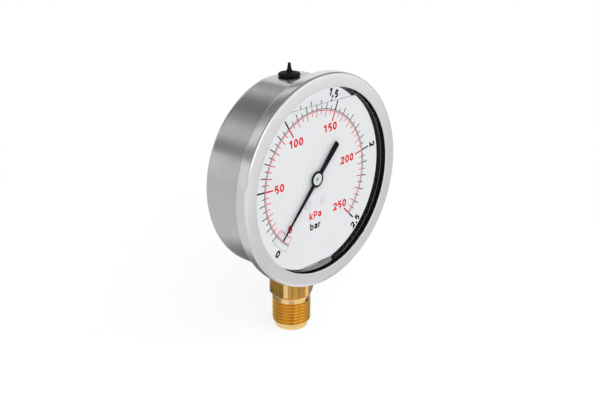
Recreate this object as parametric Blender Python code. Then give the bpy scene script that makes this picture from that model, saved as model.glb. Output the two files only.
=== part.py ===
"""Bottom-entry pressure gauge, 100 mm size, with a geared Bourdon movement.

Units are metres and +Z is up. The origin is the centre of the connection's end face, on the
axis of its thread, and the dial faces -Y. Pieces of the gauge head are drawn about the dial
axis, which runs along Y at AXIS_HEIGHT; drawings of flat pieces use (x, z) about that axis.
"""

from math import acos, asin, atan2, cos, hypot, pi, radians, sin, sqrt, tan

import bmesh
import bpy
from mathutils import Matrix, Vector
from mathutils.geometry import convex_hull_2d

# Case
AXIS_HEIGHT = 0.088
CASE_DIAMETER = 0.102
CASE_WALL = 0.0008
CASE_BACK = 0.0094
CASE_EDGE_RADIUS = 0.003
FLARE_RADIUS = 0.001
FLAT_LEAD = 0.0023
PLUG_FLAT_MARGIN = 0.0066
SOCKET_FLAT_MARGIN = 0.0006

# Crimped ring, window and its gasket
RING_OVERHANG = 0.004
RING_FACE = 0.0072
RING_WALL = 0.0008
RING_EDGE_RADIUS = 0.0016
RING_LIP_RADIUS = 0.0004
CRIMP_RADIUS = 0.0009
CRIMP_TO_FLARE = 0.0003
WINDOW_THICKNESS = 0.003
WINDOW_CHAMFER = 0.0003
GASKET_FLANGE = 0.0008
GASKET_SKIRT = 0.0067
GASKET_WALL = 0.0023
GASKET_GAP = 0.0248

# Dial and pointer
DIAL_THICKNESS = 0.0008
DIAL_EDGE_GAP = 0.0004
DIAL_CUT = 0.0035
DIAL_BORE = 0.005
DIAL_SCREW_SPREAD = 0.0108
DIAL_SCREW_DROP = 0.013
POINTER_TIP = 0.036
POINTER_TAIL = 0.022
POINTER_THICKNESS = 0.0005
POINTER_TIP_WIDTH = 0.0005
POINTER_ROOT_WIDTH = 0.0022
POINTER_TAIL_WIDTH = 0.0030
POINTER_DISC = 0.0078
POINTER_LIFT = 0.0016
BUSH_DIAMETER = 0.0064
BUSH_SHOULDER = 0.0005
BUSH_PROUD = 0.0006
ZERO_ANGLE = radians(225)
DIAL_TURN = radians(-2.2)

# Connection
STUB_DIAMETER = 0.0179
STUB_LENGTH = 0.003
THREAD_DIAMETER = 0.020955
THREAD_LENGTH = 0.0133
THREAD_CHAMFER = 0.0009
BAND_DIAMETER = 0.0204
BAND_LENGTH = 0.0025
NECK_DIAMETER = 0.0192
NECK_LENGTH = 0.0007
HEX_ACROSS_FLATS = 0.022
HEX_CORNER_DIAMETER = 0.0242
HEX_FACE_DIAMETER = 0.0204
HEX_CHAMFER = 0.0011
HEX_BELOW_CASE = 0.0003
BORE_DIAMETER = 0.005
FEED_DIAMETER = 0.003
SHANK_SIDE = 0.0082
TONGUE_THICKNESS = 0.0022
BOSS_MARGIN = 0.0002
BOSS_ABOVE_NUT = 0.0006
SEAL_SECTION = 0.0009
SEAT_RIM = 0.0009
NUT_ACROSS_FLATS = 0.0152
NUT_HEIGHT = 0.003
RESTRICTOR_LENGTH = 0.005
RESTRICTOR_BORE = 0.0008
RESTRICTOR_DEPTH = 0.009

# Fill plug
PLUG_OFFSET = 0.0015
PLUG_NECK = 0.0054
PLUG_BULB = 0.0072
PLUG_BULB_HEIGHT = 0.003
COLLAR_DIAMETER = 0.0117
COLLAR_BASE = 0.0094
COLLAR_HEIGHT = 0.0024
NIPPLE_DIAMETER = 0.0021
NIPPLE_HEIGHT = 0.0044

# Bourdon tube
TUBE_RADIUS = 0.037
TUBE_WIDTH = 0.0066
TUBE_THICKNESS = 0.003
TUBE_WALL = 0.00035
TUBE_ROOT = 0.0025
TUBE_END_TURN = radians(270)
SLOT_COVER = 0.007
TONGUE_HEIGHT = 0.009
TIP_BLOCK_HEIGHT = 0.003
TIP_PIN_REACH = 0.0055

# Movement
MODULE = 0.00035
PINION_TEETH = 12
SECTOR_CIRCLE_TEETH = 108
PRESSURE_ANGLE = radians(20)
TOOTH_SHIFT = 0.35
ROOT_DEPTH = 1.25
TOOTH_BACKLASH = 0.00006
FLANK_STEPS = 4
SPARE_TEETH = 5
POINTER_SWEEP = radians(270)
SECTOR_PIVOT_ANGLE = radians(-38)
SECTOR_THICKNESS = 0.001
SECTOR_SETBACK = 0.0025
SECTOR_HUB = 0.006
SECTOR_RIM = 0.0028
SECTOR_HUB_SPREAD = radians(70)
TAIL_ARM = 0.00764
TAIL_REST_ANGLE = radians(-30)
PINION_WIDTH = 0.0022
LINK_THICKNESS = 0.0006
LINK_GAP = 0.0004
LINK_EYE = 0.0028
PIN_DIAMETER = 0.0012
PIN_HEAD_DIAMETER = 0.0022
PIN_HEAD = 0.0005
ARBOR_DIAMETER = 0.0016
PIVOT_DIAMETER = 0.001
SECTOR_ARBOR_DIAMETER = 0.002
PLATE_THICKNESS = 0.001
PLATE_SPACING = 0.008
PLATE_PINION_LOBE = 0.005
PLATE_SECTOR_LOBE = 0.004
PLATE_RIM = 0.001
DIAL_STANDOFF = 0.0029
PILLAR_DIAMETER = 0.0036
PILLAR_LAND = 0.0014
PILLAR_LEFT = (-0.009, -0.008)
PILLAR_ABOVE_SECTOR = (0.0035, 0.019)
PILLAR_BELOW_SECTOR = (-0.0025, -0.0122)
FOOT_SCREW_SPREAD = 0.0042
SCREW_DIAMETER = 0.0016
SCREW_HEAD_DIAMETER = 0.0032
SCREW_HEAD = 0.0009
DIAL_SCREW_HEAD = 0.0006
DIAL_SCREW_HEAD_DIAMETER = 0.004
SCREW_BITE = 0.0022
SPRING_INNER = 0.0022
SPRING_OUTER = 0.0076
SPRING_TURNS = 4.5
SPRING_WIDTH = 0.0008
SPRING_THICKNESS = 0.0002
SPRING_START = radians(60)
COLLET_HEIGHT = 0.0012
STUD_DIAMETER = 0.0014

# Clearances
SEAT_GAP = 0.0002
FIT_GAP = 0.0003
PIVOT_GAP = 0.00015
OPEN_PIVOT_GAP = 0.00035
CUT_PAST = 0.001

# Facets
BIG_SEGMENTS = 64
MID_SEGMENTS = 28
SMALL_SEGMENTS = 12
ARC_STEPS = 3
FLARE_STEPS = 2
DISC_STEPS = 6
TUBE_STEPS = 30
SPRING_LOOP_STEPS = 24
WELD = 0.000001
SMOOTH_ANGLE = radians(35)

# Radii worked out from the sizes above, about the dial axis
case_r = CASE_DIAMETER / 2
case_inner_r = case_r - CASE_WALL
ring_r = case_r + RING_OVERHANG
ring_inner_r = ring_r - RING_WALL
opening_r = ring_r - RING_FACE
flange_r = ring_inner_r - SEAT_GAP
skirt_r = case_inner_r - FIT_GAP
dial_r = case_inner_r - DIAL_EDGE_GAP

# Connection: a boss that the shank passes through, a seal groove round it and a seat for the case
boss_r = hypot(SHANK_SIDE, SHANK_SIDE) / 2 + BOSS_MARGIN
groove_r = boss_r + SEAT_GAP
groove_end_r = groove_r + SEAL_SECTION + SEAT_GAP
seat_r = groove_end_r + SEAT_RIM

# Pressed flats: distance from the dial axis to the outer face of each flat
plug_flat = sqrt(case_r ** 2 - (COLLAR_DIAMETER / 2 + PLUG_FLAT_MARGIN) ** 2)
socket_flat = sqrt(case_r ** 2 - (seat_r + SOCKET_FLAT_MARGIN) ** 2)

# Stations along Y: the flats clear the connection's seat, and the rest stacks up in front of them
pressed_y = -seat_r - SOCKET_FLAT_MARGIN
round_y = pressed_y - FLAT_LEAD
dial_back_y = round_y - FIT_GAP
dial_y = dial_back_y - DIAL_THICKNESS
skirt_end_y = dial_y - SEAT_GAP
gasket_back_y = skirt_end_y - GASKET_SKIRT
gasket_y = gasket_back_y - GASKET_FLANGE
window_y = gasket_y - SEAT_GAP - WINDOW_THICKNESS
ring_y = window_y - SEAT_GAP - RING_WALL
flange_y = gasket_back_y + SEAT_GAP
crimp_y = flange_y + CASE_WALL + SEAT_GAP
flare_y = flange_y + CASE_WALL + FLARE_RADIUS
bush_y = dial_y - POINTER_LIFT
pointer_y = bush_y - SEAT_GAP - POINTER_THICKNESS
bush_front_y = pointer_y - BUSH_PROUD

# Stations of the movement, behind the dial
front_plate_y = dial_back_y + DIAL_STANDOFF
sector_y = front_plate_y + PLATE_THICKNESS + SECTOR_SETBACK
link_y = sector_y + SECTOR_THICKNESS + LINK_GAP
lug_y = link_y + LINK_THICKNESS + FIT_GAP
back_plate_y = front_plate_y + PLATE_THICKNESS + PLATE_SPACING
back_plate_end_y = back_plate_y + PLATE_THICKNESS
spring_y = (sector_y + SECTOR_THICKNESS / 2 + PINION_WIDTH / 2 + back_plate_y) / 2

# Heights along the connection, from its end face
thread_z = STUB_LENGTH
band_z = thread_z + THREAD_LENGTH
neck_z = band_z + BAND_LENGTH
hex_z = neck_z + NECK_LENGTH
hex_top_z = AXIS_HEIGHT - case_r - HEX_BELOW_CASE
seat_z = AXIS_HEIGHT - socket_flat - SEAT_GAP
wall_z = AXIS_HEIGHT - socket_flat + CASE_WALL
nut_z = wall_z + SEAT_GAP
boss_z = nut_z + NUT_HEIGHT + BOSS_ABOVE_NUT
tube_z = AXIS_HEIGHT - TUBE_RADIUS
shank_z = tube_z + SLOT_COVER
tongue_z = shank_z + TONGUE_HEIGHT

# Bourdon tube: it unbends evenly, which turns its tip about the centroid of its arc
tube_root_turn = asin(TUBE_ROOT / TUBE_RADIUS)
tube_arc = TUBE_END_TURN - tube_root_turn
unbend_at = (TUBE_RADIUS * (cos(TUBE_END_TURN) - cos(tube_root_turn)) / tube_arc,
             TUBE_RADIUS * (sin(tube_root_turn) - sin(TUBE_END_TURN)) / tube_arc)

# Gear train
pinion_pitch_r = MODULE * PINION_TEETH / 2
sector_pitch_r = MODULE * SECTOR_CIRCLE_TEETH / 2
centre_distance = pinion_pitch_r + sector_pitch_r
sector_pivot = (centre_distance * cos(SECTOR_PIVOT_ANGLE), centre_distance * sin(SECTOR_PIVOT_ANGLE))
mesh_angle = SECTOR_PIVOT_ANGLE + pi
tail_pin_at = (sector_pivot[0] + TAIL_ARM * cos(TAIL_REST_ANGLE),
               sector_pivot[1] + TAIL_ARM * sin(TAIL_REST_ANGLE))
tip_pin_at = (TUBE_RADIUS - TIP_PIN_REACH, -FIT_GAP - TIP_BLOCK_HEIGHT / 2)
pillars = {
    "left": PILLAR_LEFT,
    "upper": (sector_pivot[0] + PILLAR_ABOVE_SECTOR[0], sector_pivot[1] + PILLAR_ABOVE_SECTOR[1]),
    "lower": (sector_pivot[0] + PILLAR_BELOW_SECTOR[0], sector_pivot[1] + PILLAR_BELOW_SECTOR[1]),
}
dial_screws = {
    "left": (-DIAL_SCREW_SPREAD / 2, -DIAL_SCREW_DROP),
    "right": (DIAL_SCREW_SPREAD / 2, -DIAL_SCREW_DROP),
}
foot_drop = AXIS_HEIGHT - shank_z - TONGUE_HEIGHT / 2
foot_screws = {
    "left": (-FOOT_SCREW_SPREAD / 2, -foot_drop),
    "right": (FOOT_SCREW_SPREAD / 2, -foot_drop),
}

# Finishes: colour, roughness, metallic
STEEL = ((0.62, 0.62, 0.61), 0.32, 1.0)
SATIN_STEEL = ((0.70, 0.70, 0.69), 0.38, 1.0)
GLASS = ((0.92, 0.95, 0.96), 0.03, 0.0)
BLACK_RUBBER = ((0.015, 0.015, 0.016), 0.55, 0.0)
WHITE_ENAMEL = ((0.82, 0.83, 0.85), 0.40, 0.0)
BLACK_ENAMEL = ((0.012, 0.012, 0.013), 0.35, 0.0)
BRASS = ((0.70, 0.47, 0.16), 0.30, 1.0)
BRONZE = ((0.62, 0.36, 0.17), 0.34, 1.0)
SPRING_BRONZE = ((0.66, 0.42, 0.20), 0.28, 1.0)
BRIGHT_STEEL = ((0.66, 0.67, 0.68), 0.25, 1.0)


def clear_scene():
    for item in list(bpy.data.objects):
        bpy.data.objects.remove(item, do_unlink=True)


def finish_material(name, finish):
    colour, roughness, metallic = finish
    material = bpy.data.materials.new(name)
    material.use_nodes = True
    shader = material.node_tree.nodes["Principled BSDF"]
    shader.inputs["Base Color"].default_value = (*colour, 1.0)
    shader.inputs["Roughness"].default_value = roughness
    shader.inputs["Metallic"].default_value = metallic
    return material


def add_piece(name, shape, finish, parent, cutter=False):
    """Turn a bmesh into a named object with its own material, under its parent empty."""
    bmesh.ops.recalc_face_normals(shape, faces=shape.faces[:])
    mesh = bpy.data.meshes.new(name)
    shape.to_mesh(mesh)
    shape.free()
    mesh.shade_smooth()
    mesh.set_sharp_from_angle(angle=SMOOTH_ANGLE)
    piece = bpy.data.objects.new(name, mesh)
    bpy.context.scene.collection.objects.link(piece)
    piece.parent = parent
    if cutter:
        piece.hide_render = True
        piece.display_type = "WIRE"
    else:
        mesh.materials.append(finish_material(name, finish))
    return piece


def add_empty(name, place):
    empty = bpy.data.objects.new(name, None)
    empty.location = place
    empty.empty_display_size = PILLAR_DIAMETER
    bpy.context.scene.collection.objects.link(empty)
    return empty


def combine(piece, other, operation):
    modifier = piece.modifiers.new(other.name, "BOOLEAN")
    modifier.operation = operation
    modifier.solver = "EXACT"
    modifier.object = other


def arc(centre, radius, start, end, steps=ARC_STEPS):
    """Points on an arc from start to end, both included, as (first, second) pairs."""
    turns = [start + (end - start) * step / steps for step in range(steps + 1)]
    return [(centre[0] + radius * cos(turn), centre[1] + radius * sin(turn)) for turn in turns]


def circle(centre, radius, segments=SMALL_SEGMENTS):
    return arc(centre, radius, 0, 2 * pi * (segments - 1) / segments, segments - 1)


def turned(profile, axis, segments, at=(0, 0)):
    """Spin a profile of (radius, distance along) about Y or Z, then set it beside that axis.

    A profile that starts and ends on the axis is a solid; any other is closed into a ring.
    """
    shape = bmesh.new()
    if axis == "Y":
        corners = [shape.verts.new((radius, along, 0)) for radius, along in profile]
        spin_axis, offset = (0, 1, 0), Vector((at[0], 0, at[1]))
    else:
        corners = [shape.verts.new((radius, 0, along)) for radius, along in profile]
        spin_axis, offset = (0, 0, 1), Vector((at[0], at[1], 0))
    edges = [shape.edges.new(pair) for pair in zip(corners, corners[1:])]
    if profile[0][0] > WELD or profile[-1][0] > WELD:
        edges.append(shape.edges.new((corners[-1], corners[0])))
    bmesh.ops.spin(shape, geom=corners + edges, cent=(0, 0, 0), axis=spin_axis, angle=2 * pi,
                   steps=segments, use_merge=True, use_duplicate=False)
    bmesh.ops.remove_doubles(shape, verts=shape.verts[:], dist=WELD)
    bmesh.ops.translate(shape, verts=shape.verts[:], vec=offset)
    return shape


def plate(outline, holes, front, thickness):
    """A flat piece: an (x, z) outline with holes, from its front face back along Y."""
    shape = bmesh.new()
    edges = []
    for loop in [outline] + holes:
        corners = [shape.verts.new((x, front, z)) for x, z in loop]
        edges += [shape.edges.new(pair) for pair in zip(corners, corners[1:] + corners[:1])]
    bmesh.ops.triangle_fill(shape, use_beauty=True, edges=edges, normal=(0, -1, 0))
    grown = bmesh.ops.extrude_face_region(shape, geom=shape.faces[:])
    moved = [item for item in grown["geom"] if isinstance(item, bmesh.types.BMVert)]
    bmesh.ops.translate(shape, verts=moved, vec=(0, thickness, 0))
    return shape


def block(low, high):
    """A box between two corners."""
    shape = bmesh.new()
    size = Vector(high) - Vector(low)
    centre = (Vector(high) + Vector(low)) / 2
    bmesh.ops.create_cube(shape, size=1, matrix=Matrix.Translation(centre) @ Matrix.Diagonal((*size, 1)))
    return shape


def rounded_hull(circles):
    """The outline that a band stretched round the circles would take."""
    points = [point for centre, radius in circles for point in circle(centre, radius, SMALL_SEGMENTS)]
    return [points[index] for index in convex_hull_2d([Vector(point) for point in points])]


def rod(radius, start, end, at, segments=SMALL_SEGMENTS, axis="Y"):
    return turned([(0, start), (radius, start), (radius, end), (0, end)], axis, segments, at)


def rings_to_skin(shape, rings):
    """Join rings of corners, each as long as the last, with quads."""
    for ring, following in zip(rings, rings[1:]):
        for index in range(len(ring)):
            after = (index + 1) % len(ring)
            shape.faces.new((ring[index], ring[after], following[after], following[index]))


def press_flats(shape, top, bottom):
    """Press the turned case flat where the fill plug and the connection seat."""
    for corner in shape.verts:
        if corner.co.y > pressed_y - FLAT_LEAD / 2:
            corner.co.z = max(-bottom, min(top, corner.co.z))


def make_case(head):
    edge = (case_r - CASE_EDGE_RADIUS, CASE_BACK - CASE_EDGE_RADIUS)
    flare = (case_r + FLARE_RADIUS, flare_y)
    outer = [(0, CASE_BACK)]
    outer += arc(edge, CASE_EDGE_RADIUS, pi / 2, 0)
    outer += [(case_r, pressed_y), (case_r, round_y)]
    outer += arc(flare, FLARE_RADIUS, pi, 1.5 * pi, FLARE_STEPS)
    outer += [(flange_r, flange_y + CASE_WALL), (flange_r, flange_y), (0, flange_y)]
    blank = turned(outer, "Y", BIG_SEGMENTS)
    press_flats(blank, plug_flat, socket_flat)
    case = add_piece("case", blank, STEEL, head)

    inner = [(0, CASE_BACK - CASE_WALL)]
    inner += arc(edge, CASE_EDGE_RADIUS - CASE_WALL, pi / 2, 0)
    inner += [(case_inner_r, pressed_y), (case_inner_r, round_y)]
    inner += arc(flare, FLARE_RADIUS + CASE_WALL, pi, 1.5 * pi, FLARE_STEPS)
    inner += [(flare[0], flange_y - CUT_PAST), (0, flange_y - CUT_PAST)]
    hollow = turned(inner, "Y", BIG_SEGMENTS)
    press_flats(hollow, plug_flat - CASE_WALL, socket_flat - CASE_WALL)
    combine(case, add_piece("case_hollow", hollow, STEEL, head, cutter=True), "DIFFERENCE")

    plug_hole = rod(PLUG_NECK / 2 + FIT_GAP, plug_flat - CASE_WALL - CUT_PAST, plug_flat + CUT_PAST,
                    (0, PLUG_OFFSET), MID_SEGMENTS, "Z")
    combine(case, add_piece("plug_hole", plug_hole, STEEL, head, cutter=True), "DIFFERENCE")
    boss_hole = rod(boss_r + FIT_GAP, -socket_flat - CUT_PAST, CASE_WALL + CUT_PAST - socket_flat,
                    (0, 0), MID_SEGMENTS, "Z")
    combine(case, add_piece("boss_hole", boss_hole, STEEL, head, cutter=True), "DIFFERENCE")


def make_ring(head):
    """A channel rolled over the window, the gasket and the case's flange."""
    crimp_end_y = crimp_y + RING_WALL
    lip = (opening_r + RING_LIP_RADIUS, ring_y + RING_LIP_RADIUS)
    edge = (ring_r - RING_EDGE_RADIUS, ring_y + RING_EDGE_RADIUS)
    crimp = (ring_r - CRIMP_RADIUS, crimp_end_y - CRIMP_RADIUS)
    crimp_r = case_r + FLARE_RADIUS + CRIMP_TO_FLARE
    profile = arc(lip, RING_LIP_RADIUS, pi, 1.5 * pi, FLARE_STEPS)
    profile += arc(edge, RING_EDGE_RADIUS, 1.5 * pi, 2 * pi)
    profile += arc(crimp, CRIMP_RADIUS, 0, pi / 2, FLARE_STEPS)
    profile += [(crimp_r, crimp_end_y), (crimp_r, crimp_y), (ring_inner_r, crimp_y)]
    profile += [(ring_inner_r, ring_y + RING_WALL), (opening_r, ring_y + RING_WALL)]
    add_piece("bezel_ring", turned(profile, "Y", BIG_SEGMENTS), SATIN_STEEL, head)


def make_window(head):
    radius = ring_inner_r - FIT_GAP
    back = window_y + WINDOW_THICKNESS
    profile = [(0, window_y), (radius - WINDOW_CHAMFER, window_y), (radius, window_y + WINDOW_CHAMFER)]
    profile += [(radius, back - WINDOW_CHAMFER), (radius - WINDOW_CHAMFER, back), (0, back)]
    add_piece("window", turned(profile, "Y", BIG_SEGMENTS), GLASS, head)


def make_gasket(head):
    """Rubber ring: a flange under the window and a skirt, open at the bottom, down to the dial."""
    outer = ring_inner_r - FIT_GAP
    inner = skirt_r - GASKET_WALL
    profile = [(inner, gasket_y), (outer, gasket_y), (outer, gasket_back_y), (skirt_r, gasket_back_y)]
    profile += [(skirt_r, skirt_end_y), (inner, skirt_end_y)]
    gasket = add_piece("window_gasket", turned(profile, "Y", BIG_SEGMENTS), BLACK_RUBBER, head)
    gap = block((-GASKET_GAP / 2, gasket_back_y + SEAT_GAP, -skirt_r - CUT_PAST),
                (GASKET_GAP / 2, skirt_end_y + CUT_PAST, -inner / 2))
    combine(gasket, add_piece("gasket_gap", gap, BLACK_RUBBER, head, cutter=True), "DIFFERENCE")


def make_dial(head):
    """A disc cut straight across at the bottom, held by two screws on posts."""
    half = asin((dial_r - DIAL_CUT) / dial_r)
    outline = arc((0, 0), dial_r, -half, pi + half, BIG_SEGMENTS)
    holes = [circle((0, 0), DIAL_BORE / 2, MID_SEGMENTS)]
    hole_r = SCREW_DIAMETER / 2 + PIVOT_GAP
    holes += [circle(place, hole_r) for place in dial_screws.values()]
    add_piece("dial", plate(outline, holes, dial_y, DIAL_THICKNESS), WHITE_ENAMEL, head)
    post_start = dial_back_y + SEAT_GAP
    post_end = front_plate_y - SEAT_GAP
    land_end = front_plate_y + PLATE_THICKNESS
    for side, place in dial_screws.items():
        post = [(0, post_start + SCREW_BITE), (hole_r, post_start + SCREW_BITE), (hole_r, post_start)]
        post += [(PILLAR_DIAMETER / 2, post_start), (PILLAR_DIAMETER / 2, post_end)]
        post += [(PILLAR_LAND / 2, post_end), (PILLAR_LAND / 2, land_end), (0, land_end)]
        add_piece("dial_post_" + side, turned(post, "Y", SMALL_SEGMENTS, place), BRASS, head)
        add_screw("dial_screw_" + side, dial_y - SEAT_GAP, post_start + SCREW_BITE - SEAT_GAP, place,
                  DIAL_SCREW_HEAD, DIAL_SCREW_HEAD_DIAMETER, head)


def add_screw(name, seat, end, place, head_height, head_diameter, parent, axis="Y"):
    """A cheese-head screw whose head stands on seat and whose shank runs on to end."""
    way = -1 if end > seat else 1
    profile = [(0, seat + way * head_height), (head_diameter / 2, seat + way * head_height)]
    profile += [(head_diameter / 2, seat), (SCREW_DIAMETER / 2, seat), (SCREW_DIAMETER / 2, end), (0, end)]
    add_piece(name, turned(profile, axis, SMALL_SEGMENTS, place), BRIGHT_STEEL, parent)


def make_pointer(pivot):
    """Pointer plate with a slim tip, a boss disc and a broad tail, riveted on its bush."""
    disc = POINTER_DISC / 2
    root, tip, tail = POINTER_ROOT_WIDTH / 2, POINTER_TIP_WIDTH / 2, POINTER_TAIL_WIDTH / 2
    join, tail_join = asin(root / disc), asin(tail / disc)
    points = [(tip, POINTER_TIP - 2 * tip), (0, POINTER_TIP), (-tip, POINTER_TIP - 2 * tip)]
    points += arc((0, 0), disc, pi / 2 + join, 1.5 * pi - tail_join, DISC_STEPS)
    points += [(-tail, -POINTER_TAIL), (tail, -POINTER_TAIL)]
    points += arc((0, 0), disc, 1.5 * pi + tail_join, 2.5 * pi - join, DISC_STEPS)
    turn = Matrix.Rotation(-ZERO_ANGLE - DIAL_TURN, 2)
    outline = [tuple(turn @ Vector(point)) for point in points]
    hole = circle((0, 0), BUSH_DIAMETER / 2 + PIVOT_GAP, MID_SEGMENTS)
    add_piece("pointer", plate(outline, [hole], pointer_y, POINTER_THICKNESS), BLACK_ENAMEL, pivot)
    bore = ARBOR_DIAMETER / 2 + PIVOT_GAP
    shoulder_end = bush_y + BUSH_SHOULDER
    profile = [(bore, bush_front_y), (BUSH_DIAMETER / 2, bush_front_y), (BUSH_DIAMETER / 2, bush_y)]
    profile += [(disc, bush_y), (disc, shoulder_end), (bore, shoulder_end)]
    add_piece("pointer_bush", turned(profile, "Y", MID_SEGMENTS), BRIGHT_STEEL, pivot)


def hexagon(across_flats):
    """Corners of a hexagon whose flats face +X and -X."""
    return arc((0, 0), across_flats / sqrt(3), pi / 6, 11 * pi / 6, 5)


def upright_plate(outline, holes, low, height):
    """A flat piece drawn in plan, from its underside up along Z."""
    shape = plate(outline, holes, low, height)
    bmesh.ops.rotate(shape, verts=shape.verts[:], matrix=Matrix.Rotation(pi / 2, 3, "X"))
    return shape


def make_socket(base, head):
    """Connection: stub, thread, band, hexagon, boss and a shank that carries tube and movement."""
    thread_r, band_r, neck_r = THREAD_DIAMETER / 2, BAND_DIAMETER / 2, NECK_DIAMETER / 2
    profile = [(0, 0), (STUB_DIAMETER / 2, 0), (STUB_DIAMETER / 2, thread_z)]
    profile += [(thread_r - THREAD_CHAMFER, thread_z), (thread_r, thread_z + THREAD_CHAMFER)]
    profile += [(thread_r, band_z - thread_r + band_r), (band_r, band_z), (band_r, neck_z)]
    profile += [(neck_r, neck_z), (neck_r, hex_z + CUT_PAST)]
    profile += [(seat_r, hex_z + CUT_PAST), (seat_r, seat_z), (groove_end_r, seat_z)]
    profile += [(groove_end_r, seat_z - SEAL_SECTION), (groove_r, seat_z - SEAL_SECTION)]
    profile += [(groove_r, seat_z), (boss_r, seat_z), (boss_r, boss_z), (0, boss_z)]
    socket = add_piece("socket", turned(profile, "Z", MID_SEGMENTS), BRASS, base)

    corner_r = HEX_CORNER_DIAMETER / 2
    turning = [(0, hex_z), (HEX_FACE_DIAMETER / 2, hex_z), (corner_r, hex_z + HEX_CHAMFER)]
    turning += [(corner_r, hex_top_z), (0, hex_top_z)]
    blank = upright_plate(hexagon(HEX_ACROSS_FLATS), [], hex_z - CUT_PAST, hex_top_z - hex_z + 2 * CUT_PAST)
    hexagon_piece = add_piece("hexagon", turned(turning, "Z", MID_SEGMENTS), BRASS, base, cutter=True)
    combine(hexagon_piece, add_piece("hex_bar", blank, BRASS, base, cutter=True), "INTERSECT")
    combine(socket, hexagon_piece, "UNION")

    half = SHANK_SIDE / 2
    shank = block((-half, -half, boss_z - CUT_PAST), (half, half, shank_z))
    combine(socket, add_piece("shank", shank, BRASS, base, cutter=True), "UNION")
    tongue_y = back_plate_end_y + SEAT_GAP
    tongue = block((-half + SEAT_GAP, tongue_y, shank_z - CUT_PAST),
                   (half - SEAT_GAP, tongue_y + TONGUE_THICKNESS, tongue_z))
    combine(socket, add_piece("tongue", tongue, BRASS, base, cutter=True), "UNION")

    slot_half = TUBE_THICKNESS / 2 + FIT_GAP + TUBE_RADIUS * (1 - cos(asin(half / TUBE_RADIUS)))
    slot_width = TUBE_WIDTH / 2 + SEAT_GAP
    slot_end = FEED_DIAMETER / 4
    slot = block((-half - CUT_PAST, -slot_width, tube_z - slot_half),
                 (slot_end, slot_width, tube_z + slot_half))
    combine(socket, add_piece("tube_slot", slot, BRASS, base, cutter=True), "DIFFERENCE")
    bore = [(0, -CUT_PAST), (BORE_DIAMETER / 2, -CUT_PAST), (BORE_DIAMETER / 2, hex_top_z)]
    bore += [(FEED_DIAMETER / 2, hex_top_z), (FEED_DIAMETER / 2, tube_z), (0, tube_z)]
    cutter = add_piece("inlet_bore", turned(bore, "Z", SMALL_SEGMENTS), BRASS, base, cutter=True)
    combine(socket, cutter, "DIFFERENCE")
    for side, place in foot_screws.items():
        hole = rod(SCREW_DIAMETER / 2 + PIVOT_GAP, back_plate_end_y, back_plate_end_y + SCREW_BITE, place)
        cutter = add_piece("foot_screw_hole_" + side, hole, BRASS, head, cutter=True)
        combine(socket, cutter, "DIFFERENCE")


def make_socket_fittings(base):
    """Seal under the case, nut inside it and the restrictor screwed into the inlet."""
    seal = (groove_r + SEAT_GAP / 2 + SEAL_SECTION / 2, seat_z - SEAL_SECTION / 2 + SEAT_GAP / 2)
    section = circle(seal, SEAL_SECTION / 2, DISC_STEPS)
    add_piece("socket_seal", turned(section, "Z", MID_SEGMENTS), BLACK_RUBBER, base)
    nut_bore = circle((0, 0), boss_r + FIT_GAP, MID_SEGMENTS)
    nut = upright_plate(hexagon(NUT_ACROSS_FLATS), [nut_bore], nut_z, NUT_HEIGHT)
    bmesh.ops.rotate(nut, verts=nut.verts[:], matrix=Matrix.Rotation(pi / 2, 3, "Z"))
    add_piece("socket_nut", nut, BRIGHT_STEEL, base)
    outer = BORE_DIAMETER / 2 - SEAT_GAP
    top = RESTRICTOR_DEPTH + RESTRICTOR_LENGTH
    screw = [(RESTRICTOR_BORE / 2, RESTRICTOR_DEPTH), (outer, RESTRICTOR_DEPTH), (outer, top)]
    screw += [(RESTRICTOR_BORE / 2, top)]
    add_piece("restrictor", turned(screw, "Z", SMALL_SEGMENTS), BRIGHT_STEEL, base)


def make_plug(head):
    """Rubber fill plug: a bulb under the case wall, a collar on the flat and a vent nipple."""
    under = plug_flat - CASE_WALL - SEAT_GAP
    seat = plug_flat + SEAT_GAP
    neck, bulb = PLUG_NECK / 2, PLUG_BULB / 2
    collar, nipple = COLLAR_DIAMETER / 2, NIPPLE_DIAMETER / 2
    roll = COLLAR_HEIGHT / 2
    top = seat + COLLAR_HEIGHT
    tip = top + NIPPLE_HEIGHT
    profile = [(0, under - PLUG_BULB_HEIGHT), (neck, under - PLUG_BULB_HEIGHT)]
    profile += [(bulb, under - PLUG_BULB_HEIGHT / 2), (bulb, under), (neck, under), (neck, seat)]
    profile += [(COLLAR_BASE / 2, seat)]
    profile += arc((collar - roll, seat + roll), roll, -pi / 6, pi / 2, DISC_STEPS)
    profile += [(2 * nipple, top), (nipple, top + nipple)]
    profile += arc((0, tip - nipple), nipple, 0, pi / 2)[:-1] + [(0, tip)]
    add_piece("fill_plug", turned(profile, "Z", MID_SEGMENTS, (0, PLUG_OFFSET)), BLACK_RUBBER, head)


def oval(width, thickness):
    """Section of the flattened tube as (radial, along Y) points."""
    round_r = thickness / 2
    straight = width / 2 - round_r
    right = arc((0, straight), round_r, 0, pi)
    left = arc((0, -straight), round_r, pi, 2 * pi)
    return right + left


def tube_ring(shape, section, turn):
    """One ring of the tube; turn runs clockwise from the bottom as seen from the front."""
    outward = Vector((-sin(turn), 0, -cos(turn)))
    return [shape.verts.new(outward * (TUBE_RADIUS + radial) + Vector((0, along, 0)))
            for radial, along in section]


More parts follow.
